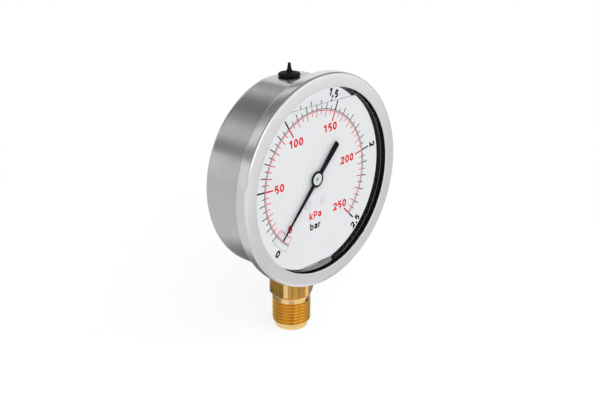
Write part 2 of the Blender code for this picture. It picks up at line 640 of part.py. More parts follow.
def make_tube(head):
    """C-shaped Bourdon tube, open where its root enters the shank and closed at its tip."""
    shape = bmesh.new()
    skin = oval(TUBE_WIDTH, TUBE_THICKNESS)
    lining = oval(TUBE_WIDTH - 2 * TUBE_WALL, TUBE_THICKNESS - 2 * TUBE_WALL)
    lining_arc = tube_arc - TUBE_WALL / TUBE_RADIUS
    turns = [step / TUBE_STEPS for step in range(TUBE_STEPS + 1)]
    outer = [tube_ring(shape, skin, tube_root_turn + tube_arc * share) for share in turns]
    inner = [tube_ring(shape, lining, tube_root_turn + lining_arc * share) for share in turns]
    rings_to_skin(shape, outer)
    rings_to_skin(shape, [ring[::-1] for ring in inner])
    shape.faces.new(outer[-1])
    shape.faces.new(inner[-1])
    rings_to_skin(shape, [inner[0], outer[0]])
    add_piece("bourdon_tube", shape, BRONZE, head)


def make_tip(unbend_axis):
    """End piece of the tube with a lug for the link; drawn about the tip pin and set there."""
    place = (tip_pin_at[0] - unbend_at[0], 0, tip_pin_at[1] - unbend_at[1])
    half = TUBE_THICKNESS / 2 + FIT_GAP
    low_x = TUBE_RADIUS - half - tip_pin_at[0]
    high_x = TUBE_RADIUS + half - tip_pin_at[0]
    low_z = -FIT_GAP - TIP_BLOCK_HEIGHT - tip_pin_at[1]
    high_z = -FIT_GAP - tip_pin_at[1]
    body = block((low_x, -TUBE_WIDTH / 2, low_z), (high_x, TUBE_WIDTH / 2, high_z))
    piece = add_piece("tip_block", body, BRONZE, unbend_axis)
    outline = rounded_hull([((0, 0), LINK_EYE / 2), ((low_x + half, 0), LINK_EYE / 2)])
    hole = circle((0, 0), PIN_DIAMETER / 2 + PIVOT_GAP)
    lug_plate = plate(outline, [hole], lug_y, LINK_THICKNESS)
    lug = add_piece("tip_lug", lug_plate, BRONZE, unbend_axis, cutter=True)
    combine(piece, lug, "UNION")
    head_end = link_y - PIVOT_GAP
    profile = [(0, head_end - PIN_HEAD), (PIN_HEAD_DIAMETER / 2, head_end - PIN_HEAD)]
    profile += [(PIN_HEAD_DIAMETER / 2, head_end), (PIN_DIAMETER / 2, head_end)]
    profile += [(PIN_DIAMETER / 2, lug_y + 2 * LINK_THICKNESS), (0, lug_y + 2 * LINK_THICKNESS)]
    pin = add_piece("tip_pin", turned(profile, "Y", SMALL_SEGMENTS), BRIGHT_STEEL, unbend_axis)
    for item in (piece, lug, pin):
        item.location = place


def make_link(pivot):
    """Flat link from the tube's tip pin to the sector's tail pin; drawn about the tip pin."""
    far = (tail_pin_at[0] - tip_pin_at[0], tail_pin_at[1] - tip_pin_at[1])
    outline = rounded_hull([((0, 0), LINK_EYE / 2), (far, LINK_EYE / 2)])
    holes = [circle((0, 0), PIN_DIAMETER / 2 + PIVOT_GAP)]
    holes += [circle(far, PIN_DIAMETER / 2 + OPEN_PIVOT_GAP)]
    add_piece("link", plate(outline, holes, link_y, LINK_THICKNESS), BRASS, pivot)


def involute(angle):
    return tan(angle) - angle


def tooth_half(teeth, shift):
    """One side of an involute tooth as (radius, half angle), root first."""
    pitch_r = MODULE * teeth / 2
    base_r = pitch_r * cos(PRESSURE_ANGLE)
    root_r = pitch_r - MODULE * (ROOT_DEPTH - shift)
    tip_r = pitch_r + MODULE * (1 + shift)
    width = MODULE * (pi / 2 + 2 * shift * tan(PRESSURE_ANGLE)) - TOOTH_BACKLASH / 2
    start = max(base_r, root_r)
    side = []
    for step in range(FLANK_STEPS + 1):
        radius = start + (tip_r - start) * step / FLANK_STEPS
        roll = acos(min(1, base_r / radius))
        side.append((radius, width / (2 * pitch_r) + involute(PRESSURE_ANGLE) - involute(roll)))
    if root_r < base_r:
        side.insert(0, (root_r, side[0][1]))
    return side


def tooth_points(teeth, shift, middle):
    side = tooth_half(teeth, shift)
    points = [(radius, middle - half) for radius, half in side]
    points += [(radius, middle + half) for radius, half in reversed(side)]
    return [(radius * cos(angle), radius * sin(angle)) for radius, angle in points]


def make_pinion(pivot):
    """Pinion cut on its arbor, which carries the pointer in front and the hairspring behind."""
    pitch = 2 * pi / PINION_TEETH
    outline = []
    for tooth in range(PINION_TEETH):
        outline += tooth_points(PINION_TEETH, TOOTH_SHIFT, SECTOR_PIVOT_ANGLE + tooth * pitch)
    front = sector_y + SECTOR_THICKNESS / 2 - PINION_WIDTH / 2
    gear = plate(outline, [], front, PINION_WIDTH)
    arbor_r = ARBOR_DIAMETER / 2
    shoulder = back_plate_y - FIT_GAP
    profile = [(0, bush_front_y), (arbor_r, bush_front_y), (arbor_r, shoulder)]
    profile += [(PIVOT_DIAMETER / 2, shoulder), (PIVOT_DIAMETER / 2, back_plate_end_y), (0, back_plate_end_y)]
    arbor = add_piece("pinion_arbor", turned(profile, "Y", SMALL_SEGMENTS), BRIGHT_STEEL, pivot)
    combine(arbor, add_piece("pinion_teeth", gear, BRIGHT_STEEL, pivot, cutter=True), "UNION")
    bore = arbor_r + PIVOT_GAP
    outer = SPRING_INNER - SPRING_THICKNESS / 2 - SEAT_GAP
    low, high = spring_y - COLLET_HEIGHT / 2, spring_y + COLLET_HEIGHT / 2
    collet = [(bore, low), (outer, low), (outer, high), (bore, high)]
    add_piece("hairspring_collet", turned(collet, "Y", SMALL_SEGMENTS), BRASS, pivot)


def make_sector(pivot):
    """Toothed sector with a spoke window and a tail; drawn about its own pivot."""
    pitch = 2 * pi / SECTOR_CIRCLE_TEETH
    passed = round(POINTER_SWEEP / (2 * pi) * PINION_TEETH)
    count = passed + SPARE_TEETH
    first = -passed - SPARE_TEETH // 2 - 1
    middles = [mesh_angle + (first + index + 0.5) * pitch for index in range(count)]
    outline = []
    for middle in middles:
        outline += tooth_points(SECTOR_CIRCLE_TEETH, -TOOTH_SHIFT, middle)
    start, end = middles[0] - pitch / 2, middles[-1] + pitch / 2
    hub = SECTOR_HUB / 2
    eye = LINK_EYE / 2
    tail = TAIL_REST_ANGLE + 2 * pi
    waist = asin(eye / hub)
    tail_at = (TAIL_ARM * cos(tail), TAIL_ARM * sin(tail))
    outline += arc((0, 0), hub, end + SECTOR_HUB_SPREAD, tail - waist, DISC_STEPS)
    outline += arc(tail_at, eye, tail - pi / 2, tail + pi / 2, DISC_STEPS)
    outline += arc((0, 0), hub, tail + waist, start + 2 * pi - SECTOR_HUB_SPREAD)
    rim_r = tooth_half(SECTOR_CIRCLE_TEETH, -TOOTH_SHIFT)[0][0] - SECTOR_RIM
    inset = SECTOR_RIM / rim_r
    window = arc((0, 0), rim_r, start + inset, end - inset, DISC_STEPS)
    window += arc((0, 0), SECTOR_HUB, end - 2 * inset, start + 2 * inset)
    bore = circle((0, 0), SECTOR_ARBOR_DIAMETER / 2 + PIVOT_GAP)
    pin_hole = circle(tail_at, PIN_DIAMETER / 2 + PIVOT_GAP)
    shape = plate(outline, [window, bore, pin_hole], sector_y, SECTOR_THICKNESS)
    add_piece("sector_gear", shape, BRASS, pivot)
    shoulder_front = front_plate_y + PLATE_THICKNESS + FIT_GAP
    shoulder_back = back_plate_y - FIT_GAP
    body, trunnion = SECTOR_ARBOR_DIAMETER / 2, PIVOT_DIAMETER / 2
    profile = [(0, front_plate_y), (trunnion, front_plate_y), (trunnion, shoulder_front)]
    profile += [(body, shoulder_front), (body, shoulder_back), (trunnion, shoulder_back)]
    profile += [(trunnion, back_plate_end_y), (0, back_plate_end_y)]
    add_piece("sector_arbor", turned(profile, "Y", SMALL_SEGMENTS), BRIGHT_STEEL, pivot)
    head_start = link_y + LINK_THICKNESS + PIVOT_GAP
    pin = PIN_DIAMETER / 2
    profile = [(0, sector_y), (pin, sector_y), (pin, head_start), (PIN_HEAD_DIAMETER / 2, head_start)]
    profile += [(PIN_HEAD_DIAMETER / 2, head_start + PIN_HEAD), (0, head_start + PIN_HEAD)]
    add_piece("tail_pin", turned(profile, "Y", SMALL_SEGMENTS, tail_at), BRIGHT_STEEL, pivot)


def make_hairspring(head):
    """Flat spiral from the collet to its stud; prints the least gap between its turns."""
    steps = round(SPRING_TURNS * SPRING_LOOP_STEPS)
    growth = (SPRING_OUTER - SPRING_INNER) / steps
    shape = bmesh.new()
    rings = []
    centres = []
    for step in range(steps + 1):
        angle = SPRING_START + step * 2 * pi / SPRING_LOOP_STEPS
        radius = SPRING_INNER + growth * step
        outward = Vector((cos(angle), 0, sin(angle)))
        centres.append(outward * radius)
        corners = [(-1, -1), (1, -1), (1, 1), (-1, 1)]
        rings.append([shape.verts.new(outward * (radius + side * SPRING_THICKNESS / 2)
                                      + Vector((0, spring_y + edge * SPRING_WIDTH / 2, 0)))
                      for side, edge in corners])
    rings_to_skin(shape, rings)
    shape.faces.new(rings[0])
    shape.faces.new(rings[-1])
    add_piece("hairspring", shape, SPRING_BRONZE, head)
    far = SPRING_LOOP_STEPS // 2
    gap = min((centres[one] - centres[other]).length for one in range(len(centres))
              for other in range(one + far, len(centres))) - SPRING_THICKNESS
    print("hairspring: least gap between turns %.2f mm" % (gap * 1000))
    stud_r = STUD_DIAMETER / 2
    reach = SPRING_OUTER + SPRING_THICKNESS / 2 + SEAT_GAP + stud_r
    last = atan2(centres[-1].z, centres[-1].x)
    stud = rod(stud_r, spring_y - SPRING_WIDTH, back_plate_y - SEAT_GAP, (reach * cos(last), reach * sin(last)))
    add_piece("hairspring_stud", stud, BRASS, head)


def make_movement_frame(head):
    """Two plates on three pillars; the back plate's foot is screwed to the shank's tongue."""
    sites = [((0, 0), PLATE_PINION_LOBE), (sector_pivot, PLATE_SECTOR_LOBE)]
    pillar_lobe = PILLAR_DIAMETER / 2 + PLATE_RIM
    sites += [(place, pillar_lobe) for place in pillars.values()]
    clear = PIVOT_GAP + SCREW_DIAMETER / 2
    land = PILLAR_LAND / 2 + PIVOT_GAP
    front_sites = sites + [(place, pillar_lobe) for place in dial_screws.values()]
    front_holes = [circle((0, 0), ARBOR_DIAMETER / 2 + PIVOT_GAP)]
    front_holes += [circle(sector_pivot, PIVOT_DIAMETER / 2 + PIVOT_GAP)]
    front_holes += [circle(place, clear) for place in pillars.values()]
    front_holes += [circle(place, land) for place in dial_screws.values()]
    front = plate(rounded_hull(front_sites), front_holes, front_plate_y, PLATE_THICKNESS)
    add_piece("front_plate", front, BRASS, head)

    back_sites = sites + [(place, SCREW_HEAD_DIAMETER / 2 + PLATE_RIM) for place in foot_screws.values()]
    back_holes = [circle((0, 0), PIVOT_DIAMETER / 2 + PIVOT_GAP)]
    back_holes += [circle(sector_pivot, PIVOT_DIAMETER / 2 + PIVOT_GAP)]
    back_holes += [circle(place, land) for place in pillars.values()]
    back_holes += [circle(place, clear) for place in foot_screws.values()]
    back = plate(rounded_hull(back_sites), back_holes, back_plate_y, PLATE_THICKNESS)
    add_piece("back_plate", back, BRASS, head)

    start = front_plate_y + PLATE_THICKNESS + SEAT_GAP
    end = back_plate_y - SEAT_GAP
    for side, place in pillars.items():
        profile = [(0, start + SCREW_BITE), (clear, start + SCREW_BITE), (clear, start)]
        profile += [(PILLAR_DIAMETER / 2, start), (PILLAR_DIAMETER / 2, end), (PILLAR_LAND / 2, end)]
        profile += [(PILLAR_LAND / 2, back_plate_end_y), (0, back_plate_end_y)]
        add_piece("pillar_" + side, turned(profile, "Y", SMALL_SEGMENTS, place), BRASS, head)
        add_screw("plate_screw_" + side, front_plate_y - SEAT_GAP, start + SCREW_BITE - SEAT_GAP, place,
                  SCREW_HEAD, SCREW_HEAD_DIAMETER, head)
    for side, place in foot_screws.items():
        add_screw("foot_screw_" + side, back_plate_y - SEAT_GAP, back_plate_end_y + SCREW_BITE - SEAT_GAP,
                  place, SCREW_HEAD, SCREW_HEAD_DIAMETER, head)


def main():
    clear_scene()
    base = add_empty("connection_end", (0, 0, 0))
    head = add_empty("dial_axis", (0, 0, AXIS_HEIGHT))
    pointer_pivot = add_empty("pointer_axis", (0, 0, AXIS_HEIGHT))
    sector_axis = add_empty("sector_axis", (sector_pivot[0], 0, AXIS_HEIGHT + sector_pivot[1]))
    unbend_axis = add_empty("unbend_axis", (unbend_at[0], 0, AXIS_HEIGHT + unbend_at[1]))
    link_axis = add_empty("link_axis", (tip_pin_at[0], 0, AXIS_HEIGHT + tip_pin_at[1]))
    make_case(head)
    make_ring(head)
    make_window(head)
    make_gasket(head)
    make_dial(head)
    make_plug(head)
    make_socket(base, head)
    make_socket_fittings(base)
    make_tube(head)
    make_movement_frame(head)
    make_hairspring(head)
    make_pointer(pointer_pivot)
    make_pinion(pointer_pivot)
    make_sector(sector_axis)
    make_tip(unbend_axis)
    make_link(link_axis)


main()
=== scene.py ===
"""Finished looks of a liquid-filled dial pressure gauge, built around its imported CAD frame.

Lengths are in metres. The origin is the centre of the connection's end face, +Z is up and the
dial faces -Y. Turned pieces of the gauge head are drawn about the dial axis, which runs along Y.
"""

from math import atan2, cos, degrees, hypot, pi, radians, sin, tan

import bmesh
import bpy
from bpy.props import FloatProperty, FloatVectorProperty, PointerProperty
from mathutils import Matrix, Vector


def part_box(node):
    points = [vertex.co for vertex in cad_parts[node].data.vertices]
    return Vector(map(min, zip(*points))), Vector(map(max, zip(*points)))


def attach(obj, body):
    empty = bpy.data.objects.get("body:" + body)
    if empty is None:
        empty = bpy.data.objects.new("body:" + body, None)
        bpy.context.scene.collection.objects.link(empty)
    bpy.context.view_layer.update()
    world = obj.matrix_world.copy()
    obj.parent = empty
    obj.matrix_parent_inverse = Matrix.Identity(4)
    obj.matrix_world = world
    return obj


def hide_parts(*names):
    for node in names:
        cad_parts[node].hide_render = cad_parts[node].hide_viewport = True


bl_info = {
    "name": "Pressure Gauge Looks",
    "version": (1, 0, 0),
    "blender": (4, 5, 0),
    "location": "View3D > Sidebar > Gauge",
    "description": "Builds the finished pieces of a dial pressure gauge around its CAD frame",
    "category": "Object",
}

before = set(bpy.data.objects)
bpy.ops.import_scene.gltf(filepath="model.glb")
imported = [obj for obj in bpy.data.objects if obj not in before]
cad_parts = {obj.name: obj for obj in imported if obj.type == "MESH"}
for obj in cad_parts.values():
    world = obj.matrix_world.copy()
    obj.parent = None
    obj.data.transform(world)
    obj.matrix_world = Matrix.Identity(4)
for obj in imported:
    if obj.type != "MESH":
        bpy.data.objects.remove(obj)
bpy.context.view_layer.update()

TURNED_UV = "turned"
WEAR = "edge_wear"
HEAD_SEGMENTS = 192
SMALL_SEGMENTS = 64
SCREW_SEGMENTS = 32
CORNER_STEPS = 6
FINE_STEPS = 4
SOFT_STEPS = 8
FLAT_STEPS = 12
ARC_STEPS = 160
# Radius below which a ring is one point, and distance below which points are merged
POLE, WELD = 1e-7, 1e-6
# Least cosine of half a bend at which a strip keeps its full width
SHORTEST_MITRE = 0.4
SHARP_ANGLE = radians(32)
CUT_PAST = 0.002
GRAIN_DEPTH = 0.00005
DRAWN = "drawn_bar"
THREAD = "cut_thread"
RUN_OUT = "thread_run_out"
# Shine of a coat in air, and of one in the liquid, which bends light almost as much as the coat
IN_AIR, IN_LIQUID = 0.08, 0.04
# How much of its colour rubber keeps in the liquid
WET_SHADE = 0.45
# Share of a clear piece that bends light but mirrors nothing
CALM_SHARE = 0.9
# More than the marks in a row, so that none is left out
KEEP_ALL = 99
FULL_SCALE = 2.5

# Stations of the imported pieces
RING_LOW, RING_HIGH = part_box("bezel_ring")
CASE_LOW, CASE_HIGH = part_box("case")
_, WINDOW_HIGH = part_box("window")
GASKET_LOW, GASKET_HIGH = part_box("window_gasket")
DIAL_LOW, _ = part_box("dial")
POINTER_LOW, POINTER_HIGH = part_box("pointer")
BUSH_LOW, BUSH_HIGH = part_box("pointer_bush")
PLUG_LOW, PLUG_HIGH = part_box("fill_plug")
_, SOCKET_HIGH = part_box("socket")
TUBE_LOW, TUBE_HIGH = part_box("bourdon_tube")
SCREW_LEFT_LOW, SCREW_LEFT_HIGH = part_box("dial_screw_left")
SCREW_RIGHT_LOW, SCREW_RIGHT_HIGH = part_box("dial_screw_right")
AXIS_Z = (RING_LOW.z + RING_HIGH.z) / 2
RING_RADIUS = (RING_HIGH.x - RING_LOW.x) / 2
FLANGE_RADIUS = (CASE_HIGH.x - CASE_LOW.x) / 2
GASKET_RADIUS = (GASKET_HIGH.x - GASKET_LOW.x) / 2
AXIS_POINT = Vector((0, 0, AXIS_Z))
PLUG_Y = (PLUG_LOW.y + PLUG_HIGH.y) / 2


def length(label, text, value):
    """A length in metres."""
    return FloatProperty(name=label, description=text, default=value, min=0, unit="LENGTH", precision=5)


def lengths(label, text, values):
    """Several lengths in metres."""
    return FloatVectorProperty(name=label, description=text, default=values, size=len(values),
                               subtype="XYZ", unit="LENGTH", precision=5)


def angle(label, text, value):
    """An angle, given in degrees."""
    return FloatProperty(name=label, description=text, default=radians(value), subtype="ANGLE")


def colour(label, text, value):
    """A colour, in linear shares of red, green and blue."""
    return FloatVectorProperty(name=label, description=text, default=value, size=3, min=0, max=1,
                               subtype="COLOR")


class GaugeHeadSettings(bpy.types.PropertyGroup):
    """Sizes and colours of the case, the ring, the window's gasket and the fill."""

    barrel: length("Barrel Radius", "Outer radius of the case", 0.051)
    sheet: length("Sheet", "Thickness of the case's and the ring's steel", 0.0008)
    back_edge: length("Back Edge", "Rounding of the case's back edge", 0.003)
    flare: length("Flare", "Rounding between the case's barrel and its flange", 0.001)
    top_flat: length("Top Flat", "Distance from the dial axis to the flat under the plug", 0.049457)
    foot_flat: length("Foot Flat", "Distance from the dial axis to the flat on the connection", 0.050235)
    flats_full: length("Flats Full", "Distance behind the flange at which the flats are full", 0.0101)
    flats_lead: length("Flats Lead", "Length over which the flats come in", 0.0035)
    flats_soft: length("Flats Soft", "Softness of the flats' edges", 0.0005)
    plug_hole: length("Plug Hole", "Radius of the hole for the plug", 0.003)
    foot_hole: length("Foot Hole", "Radius of the hole for the connection", 0.0063)
    opening: length("Opening", "Radius of the ring's opening", 0.0478)
    ring_edge: length("Ring Edge", "Rounding of the ring's front edge", 0.0016)
    ring_lip: length("Ring Lip", "Rounding of the ring's lip on the window", 0.0004)
    crimp: length("Crimp", "Rounding of the ring's rolled rear edge", 0.0009)
    crimp_inner: length("Crimp Radius", "Radius to which the ring is rolled in", 0.0523)
    bore: length("Gasket Bore", "Inner radius of the gasket", 0.0476)
    skirt: length("Skirt Radius", "Outer radius of the gasket's skirt", 0.0499)
    gasket_flange: length("Gasket Flange", "Thickness of the gasket's flange", 0.0008)
    gasket_bead: length("Gasket Bead", "Height of the moulded bead inside the skirt", 0.00015)
    gasket_edge: length("Gasket Edge", "Rounding of the gasket's edges", 0.0003)
    skirt_gap: length("Skirt Gap", "Half width of the gap in the skirt at the bottom", 0.0124)
    # The liquid line is drawn as a dull grey strip: painted shade standing in for the meniscus
    line: length("Liquid Line", "Thickness of the line at the liquid's edge", 0.0002)
    level: length("Liquid Level", "Height of the liquid above the dial axis", 0.0397)
    steel: colour("Case Steel", "Colour of the case", (0.60, 0.60, 0.60))
    ring_steel: colour("Ring Steel", "Colour of the ring", (0.75, 0.75, 0.75))
    rubber: colour("Rubber", "Colour of the gasket and the plug", (0.008, 0.0075, 0.008))


class GaugeDialSettings(bpy.types.PropertyGroup):
    """Layout and colours of the dial and its pointer."""

    turn: angle("Dial Turn", "How far the scale sits round from upright, clockwise", -2.2)
    zero: angle("Zero", "Angle of the scale's zero, clockwise from the top", -136)
    sweep: angle("Sweep", "Angle from the scale's zero to its end", 272.8)
    lag: angle("Lag", "How far the middle of the scale lags behind even spacing", 3.6)
    pointer_rest: angle("Pointer Rest", "Angle of the resting pointer, clockwise from the top", -137.2)
    print_shift: lengths("Print Shift", "How far the scale is printed off the axis", (0.0003, -0.0005))
    overrun: angle("Zero Box", "Half angle of the box at zero", 8.1)
    outer_arc: length("Outer Arc", "Radius of the black arc", 0.0361)
    inner_arc: length("Inner Arc", "Radius of the red arc", 0.0354)
    arc_width: length("Arc Width", "Width of both arcs", 0.00035)
    outer_marks: lengths("Outer Marks", "Lengths of the black marks, from fine to heavy",
                         (0.0019, 0.0035, 0.0050))
    outer_lines: lengths("Outer Lines", "Widths of the black marks, from fine to heavy",
                         (0.00042, 0.00050, 0.00082))
    inner_marks: lengths("Inner Marks", "Lengths of the red marks, from fine to heavy",
                         (0.0021, 0.0034, 0.0050))
    inner_lines: lengths("Inner Lines", "Widths of the red marks, from fine to heavy",
                         (0.00042, 0.00042, 0.00082))
    box_depth: length("Box Depth", "Depth of the boxes at zero", 0.0034)
    box_line: length("Box Line", "Width of the boxes' ends", 0.00022)
    outer_labels: length("Outer Labels", "Radius of the black labels", 0.0443)
    outer_height: length("Outer Label Height", "Height of the black labels", 0.0038)
    inner_height: length("Inner Label Height", "Height of the red labels", 0.0041)
    unit_height: length("Unit Height", "Height of the units", 0.0040)
    wide: FloatProperty(name="Wide Labels", description="How wide the labels are drawn", default=1.1)
    ink: length("Ink", "Thickness of the printed ink", 0.00003)
    tip: length("Pointer Tip", "Length of the pointer to its tip", 0.036)
    tip_width: length("Tip Width", "Width of the pointer at its tip", 0.0008)
    root_width: length("Root Width", "Width of the pointer's needle at its hub", 0.0026)
    tail: length("Pointer Tail", "Length of the pointer's tail", 0.022)
    tail_width: length("Tail Width", "Width of the pointer's tail at its hub", 0.0030)
    tail_end_width: length("Tail End Width", "Width of the pointer's tail at its end", 0.0038)
    disc: length("Pointer Disc", "Radius of the pointer's disc", 0.0043)
    cap: length("Hub Cap", "Radius of the bright hub", 0.0032)
    screw_head: length("Screw Head", "Height of the dial screws' heads", 0.0006)
    screw_slot: length("Screw Slot", "Width of the dial screws' slots", 0.0007)
    slot_turn: angle("Slot Turn", "How far each screw's slot is turned on from the one before", 38)
    enamel: colour("Enamel", "Colour of the dial", (0.82, 0.81, 0.845))
    black: colour("Black Ink", "Colour of the outer scale", (0.006, 0.0055, 0.008))
    red: colour("Red Ink", "Colour of the inner scale", (0.74, 0.009, 0.016))
    grey: colour("Grey Ink", "Colour of the outer zero box", (0.42, 0.43, 0.45))


class GaugeConnectionSettings(bpy.types.PropertyGroup):
    """Sizes and colours of the brass connection and the plug."""

    stub: length("Stub Radius", "Radius of the stub below the thread", 0.00895)
    stub_end: length("Stub Length", "Height of the stub", 0.003)
    crest: length("Thread Radius", "Radius over the thread's crests", 0.0104775)
    depth: length("Thread Depth", "Depth of the thread", 0.00116)
    pitch: length("Pitch", "Pitch of the thread", 0.001814)
    thread_end: length("Thread End", "Height at which the thread ends", 0.0163)
    thread_edge: length("Thread Edge", "Chamfer at the thread's ends", 0.0009)
    band: length("Band Radius", "Radius of the plain band above the thread", 0.0102)
    run_out: length("Run-out Height", "Height at which the thread runs out in the band", 0.01695)
    run_out_turn: angle("Run-out Turn", "Where the thread runs out, from the front", 8)
    neck: length("Neck Radius", "Radius of the neck below the hexagon", 0.0096)
    hex_start: length("Hexagon Start", "Height of the hexagon's lower face", 0.0195)
    hex_end: length("Hexagon End", "Height of the hexagon's upper face", 0.0367)
    hex_flat: length("Hexagon Flat", "Distance from the axis to a flat", 0.011)
    hex_corner: length("Hexagon Corner", "Radius over the turned corners", 0.01195)
    hex_face: length("Hexagon Face", "Radius of the hexagon's lower face", 0.0102)
    hex_edge: length("Hexagon Edge", "Height of the chamfer on the hexagon's lower corners", 0.0011)
    seat: length("Seat Radius", "Radius of the seat under the case", 0.0082)
    seat_end: length("Seat Height", "Height of the seat", 0.037565)
    boss: length("Boss Radius", "Radius of the boss in the case", 0.006)
    boss_end: length("Boss Height", "Height of the boss", 0.042365)
    shank: length("Shank", "Half width of the square shank", 0.0041)
    shank_end: length("Shank Height", "Height of the shank", 0.058)
    tongue_half: length("Tongue", "Half width of the tongue that carries the movement", 0.0039)
    tongue_depth: length("Tongue Depth", "Thickness of the tongue", 0.0022)
    inlet: length("Inlet Radius", "Radius of the inlet", 0.0025)
    neck_plug: length("Plug Neck", "Radius of the plug's neck", 0.0027)
    bulb: length("Plug Bulb", "Height of the plug's bulb in the case", 0.003)
    collar_base: length("Collar Base", "Radius of the plug's collar where it rests", 0.0052)
    collar_height: length("Collar Height", "Height of the plug's collar", 0.0019)
    nipple: length("Nipple", "Radius of the plug's nipple", 0.00105)
    brass: colour("Turned Brass", "Colour of the connection where it was turned", (0.93, 0.67, 0.33))
    # Thread brass deepens towards the roots of the thread: painted shade in its grooves
    thread_brass: colour("Thread Brass", "Colour of the brass in the thread", (0.84, 0.48, 0.045))
    # Drawn brass is darker partly as the flats' own duller finish, partly as painted shade for what they
    # mirror
    drawn_brass: colour("Drawn Brass", "Colour of the hexagon's drawn flats", (0.66, 0.355, 0.06))
    tarnish: colour("Tarnish", "Colour of dull brass", (0.36, 0.19, 0.035))
    # Near-black painted shade inside the notch where the thread runs out
    groove: colour("Groove", "Colour of the groove in which the thread runs out", (0.02, 0.014, 0.008))


class GaugeStageSettings(bpy.types.PropertyGroup):
    """Camera, floor and light."""

    camera_at: lengths("Camera", "Where the camera stands", (-0.308616, -0.297991, 0.237814))
    camera_turn: FloatVectorProperty(name="Camera Turn", description="How the camera is turned", size=3,
                                     default=(radians(68.8782), radians(-0.2248), radians(-46.5146)),
                                     subtype="EULER")
    lens: FloatProperty(name="Lens", description="Focal length in millimetres", default=52.948,
                        unit="CAMERA")
    floor: colour("Floor", "Colour of the floor", (0.93, 0.93, 0.93))
    floor_radius: length("Floor Radius", "Radius of the floor", 1.6)
    floor_lift: FloatProperty(name="Floor Lift", description="How much the seen floor is lifted to white",
                              default=0.16, min=0, max=1, subtype="FACTOR")
    sky: FloatProperty(name="Room Light", description="Strength of the room's even light", default=0.85,
                       min=0, max=1, subtype="FACTOR")
    key: FloatProperty(name="Key Light", description="Power of the main lamp", default=2.0, unit="POWER")
    key_at: lengths("Key Place", "Where the main lamp stands", (-0.45, -0.75, 0.55))
    fill: FloatProperty(name="Fill Light", description="Power of the second lamp", default=1.0,
                        unit="POWER")
    fill_at: lengths("Fill Place", "Where the second lamp stands", (0.55, -0.70, 0.40))
    lamp_size: length("Lamp Size", "Width of both lamps", 0.9)


# Shapes


def rounded(corners, steps=CORNER_STEPS):
    """Points (first, second, wear) of an outline whose corners (first, second, radius) are rounded."""
    points = []
    for index, (first, second, radius) in enumerate(corners):
        here = Vector((first, second))
        if radius == 0:
            points.append((first, second, 0.0))
            continue
        before = (Vector(corners[index - 1][:2]) - here).normalized()
        after = (Vector(corners[(index + 1) % len(corners)][:2]) - here).normalized()
        half = before.angle(after) / 2
        centre = here + (before + after).normalized() * radius / sin(half)
        start = here + before * radius / tan(half) - centre
        end = here + after * radius / tan(half) - centre
        sweep = atan2(start.x * end.y - start.y * end.x, start.dot(end))
        for step in range(steps + 1):
            spoke = Matrix.Rotation(sweep * step / steps, 2) @ start
            points.append((centre.x + spoke.x, centre.y + spoke.y, sin(pi * step / steps)))
    return points


def divided(points, longest):
    """The same closed outline, with points added on sides longer than longest."""
    filled = []
    for point, following in zip(points, points[1:] + points[:1]):
        filled.append(point)
        gap = hypot(following[0] - point[0], following[1] - point[1])
        extra = int(gap / longest)
        if point[0] > POLE or following[0] > POLE:
            for step in range(1, extra + 1):
                part = step / (extra + 1)
                filled.append((point[0] + (following[0] - point[0]) * part,
                               point[1] + (following[1] - point[1]) * part, 0.0))
    return filled


def spun(outline, segments, axis, centre, reach=None):
    """A closed skin from an outline of (radius, along, wear) turned about Y or Z through centre.

    reach(radius, along, turn) may give another radius. The skin's rings come with it, and it has a
    UV map that runs round the piece and its corners' weight for wear and painted glint.
    """
    shape = bmesh.new()
    uv = shape.loops.layers.uv.new(TURNED_UV)
    wear = shape.verts.layers.float.new(WEAR)
    rings, along_skin, walked = [], [], 0.0
    for index, (radius, along, worn) in enumerate(outline):
        ring = []
        for segment in range(segments if radius > POLE else 1):
            turn = 2 * pi * segment / segments
            out = reach(radius, along, turn) if reach else radius
            spoke = (out * sin(turn), along, out * cos(turn))
            if axis == "Z":
                spoke = (out * cos(turn), out * sin(turn), along)
            corner = shape.verts.new(Vector(centre) + Vector(spoke))
            corner[wear] = worn
            ring.append(corner)
        rings.append(ring)
        if index:
            walked += hypot(radius - outline[index - 1][0], along - outline[index - 1][1])
        along_skin.append(walked)
    for index, ring in enumerate(rings):
        after = (index + 1) % len(rings)
        following = rings[after]
        if len(ring) == 1 and len(following) == 1:
            continue
        for segment in range(segments):
            ahead = segment + 1
            quad = [(ring[segment % len(ring)], segment, index), (ring[ahead % len(ring)], ahead, index),
                    (following[ahead % len(following)], ahead, after),
                    (following[segment % len(following)], segment, after)]
            if len(ring) == 1:
                quad.pop(1)
            if len(following) == 1:
                quad.pop(2)
            face = shape.faces.new([corner for corner, _, _ in quad])
            for loop, (_, column, row) in zip(face.loops, quad):
                loop[uv].uv = (column / segments, along_skin[row] / max(walked, POLE))
    return shape, rings


def block(low, high):
    """A box between two corners."""
    shape = bmesh.new()
    size = Vector(high) - Vector(low)
    middle = (Vector(high) + Vector(low)) / 2
    bmesh.ops.create_cube(shape, size=1, matrix=Matrix.Translation(middle) @ Matrix.Diagonal((*size, 1)))
    return shape


def plate(outline, holes, front, back):
    """A flat piece from an (x, z) outline with holes, between two planes across Y."""
    shape = bmesh.new()
    edges = []
    for loop in [outline] + holes:
        corners = [shape.verts.new((x, front, z)) for x, z in loop]
        edges += [shape.edges.new(pair) for pair in zip(corners, corners[1:] + corners[:1])]
    bmesh.ops.triangle_fill(shape, use_beauty=True, edges=edges, normal=(0, -1, 0))
    grown = bmesh.ops.extrude_face_region(shape, geom=shape.faces[:])
    moved = [item for item in grown["geom"] if isinstance(item, bmesh.types.BMVert)]
    bmesh.ops.translate(shape, verts=moved, vec=(0, back - front, 0))
    return shape


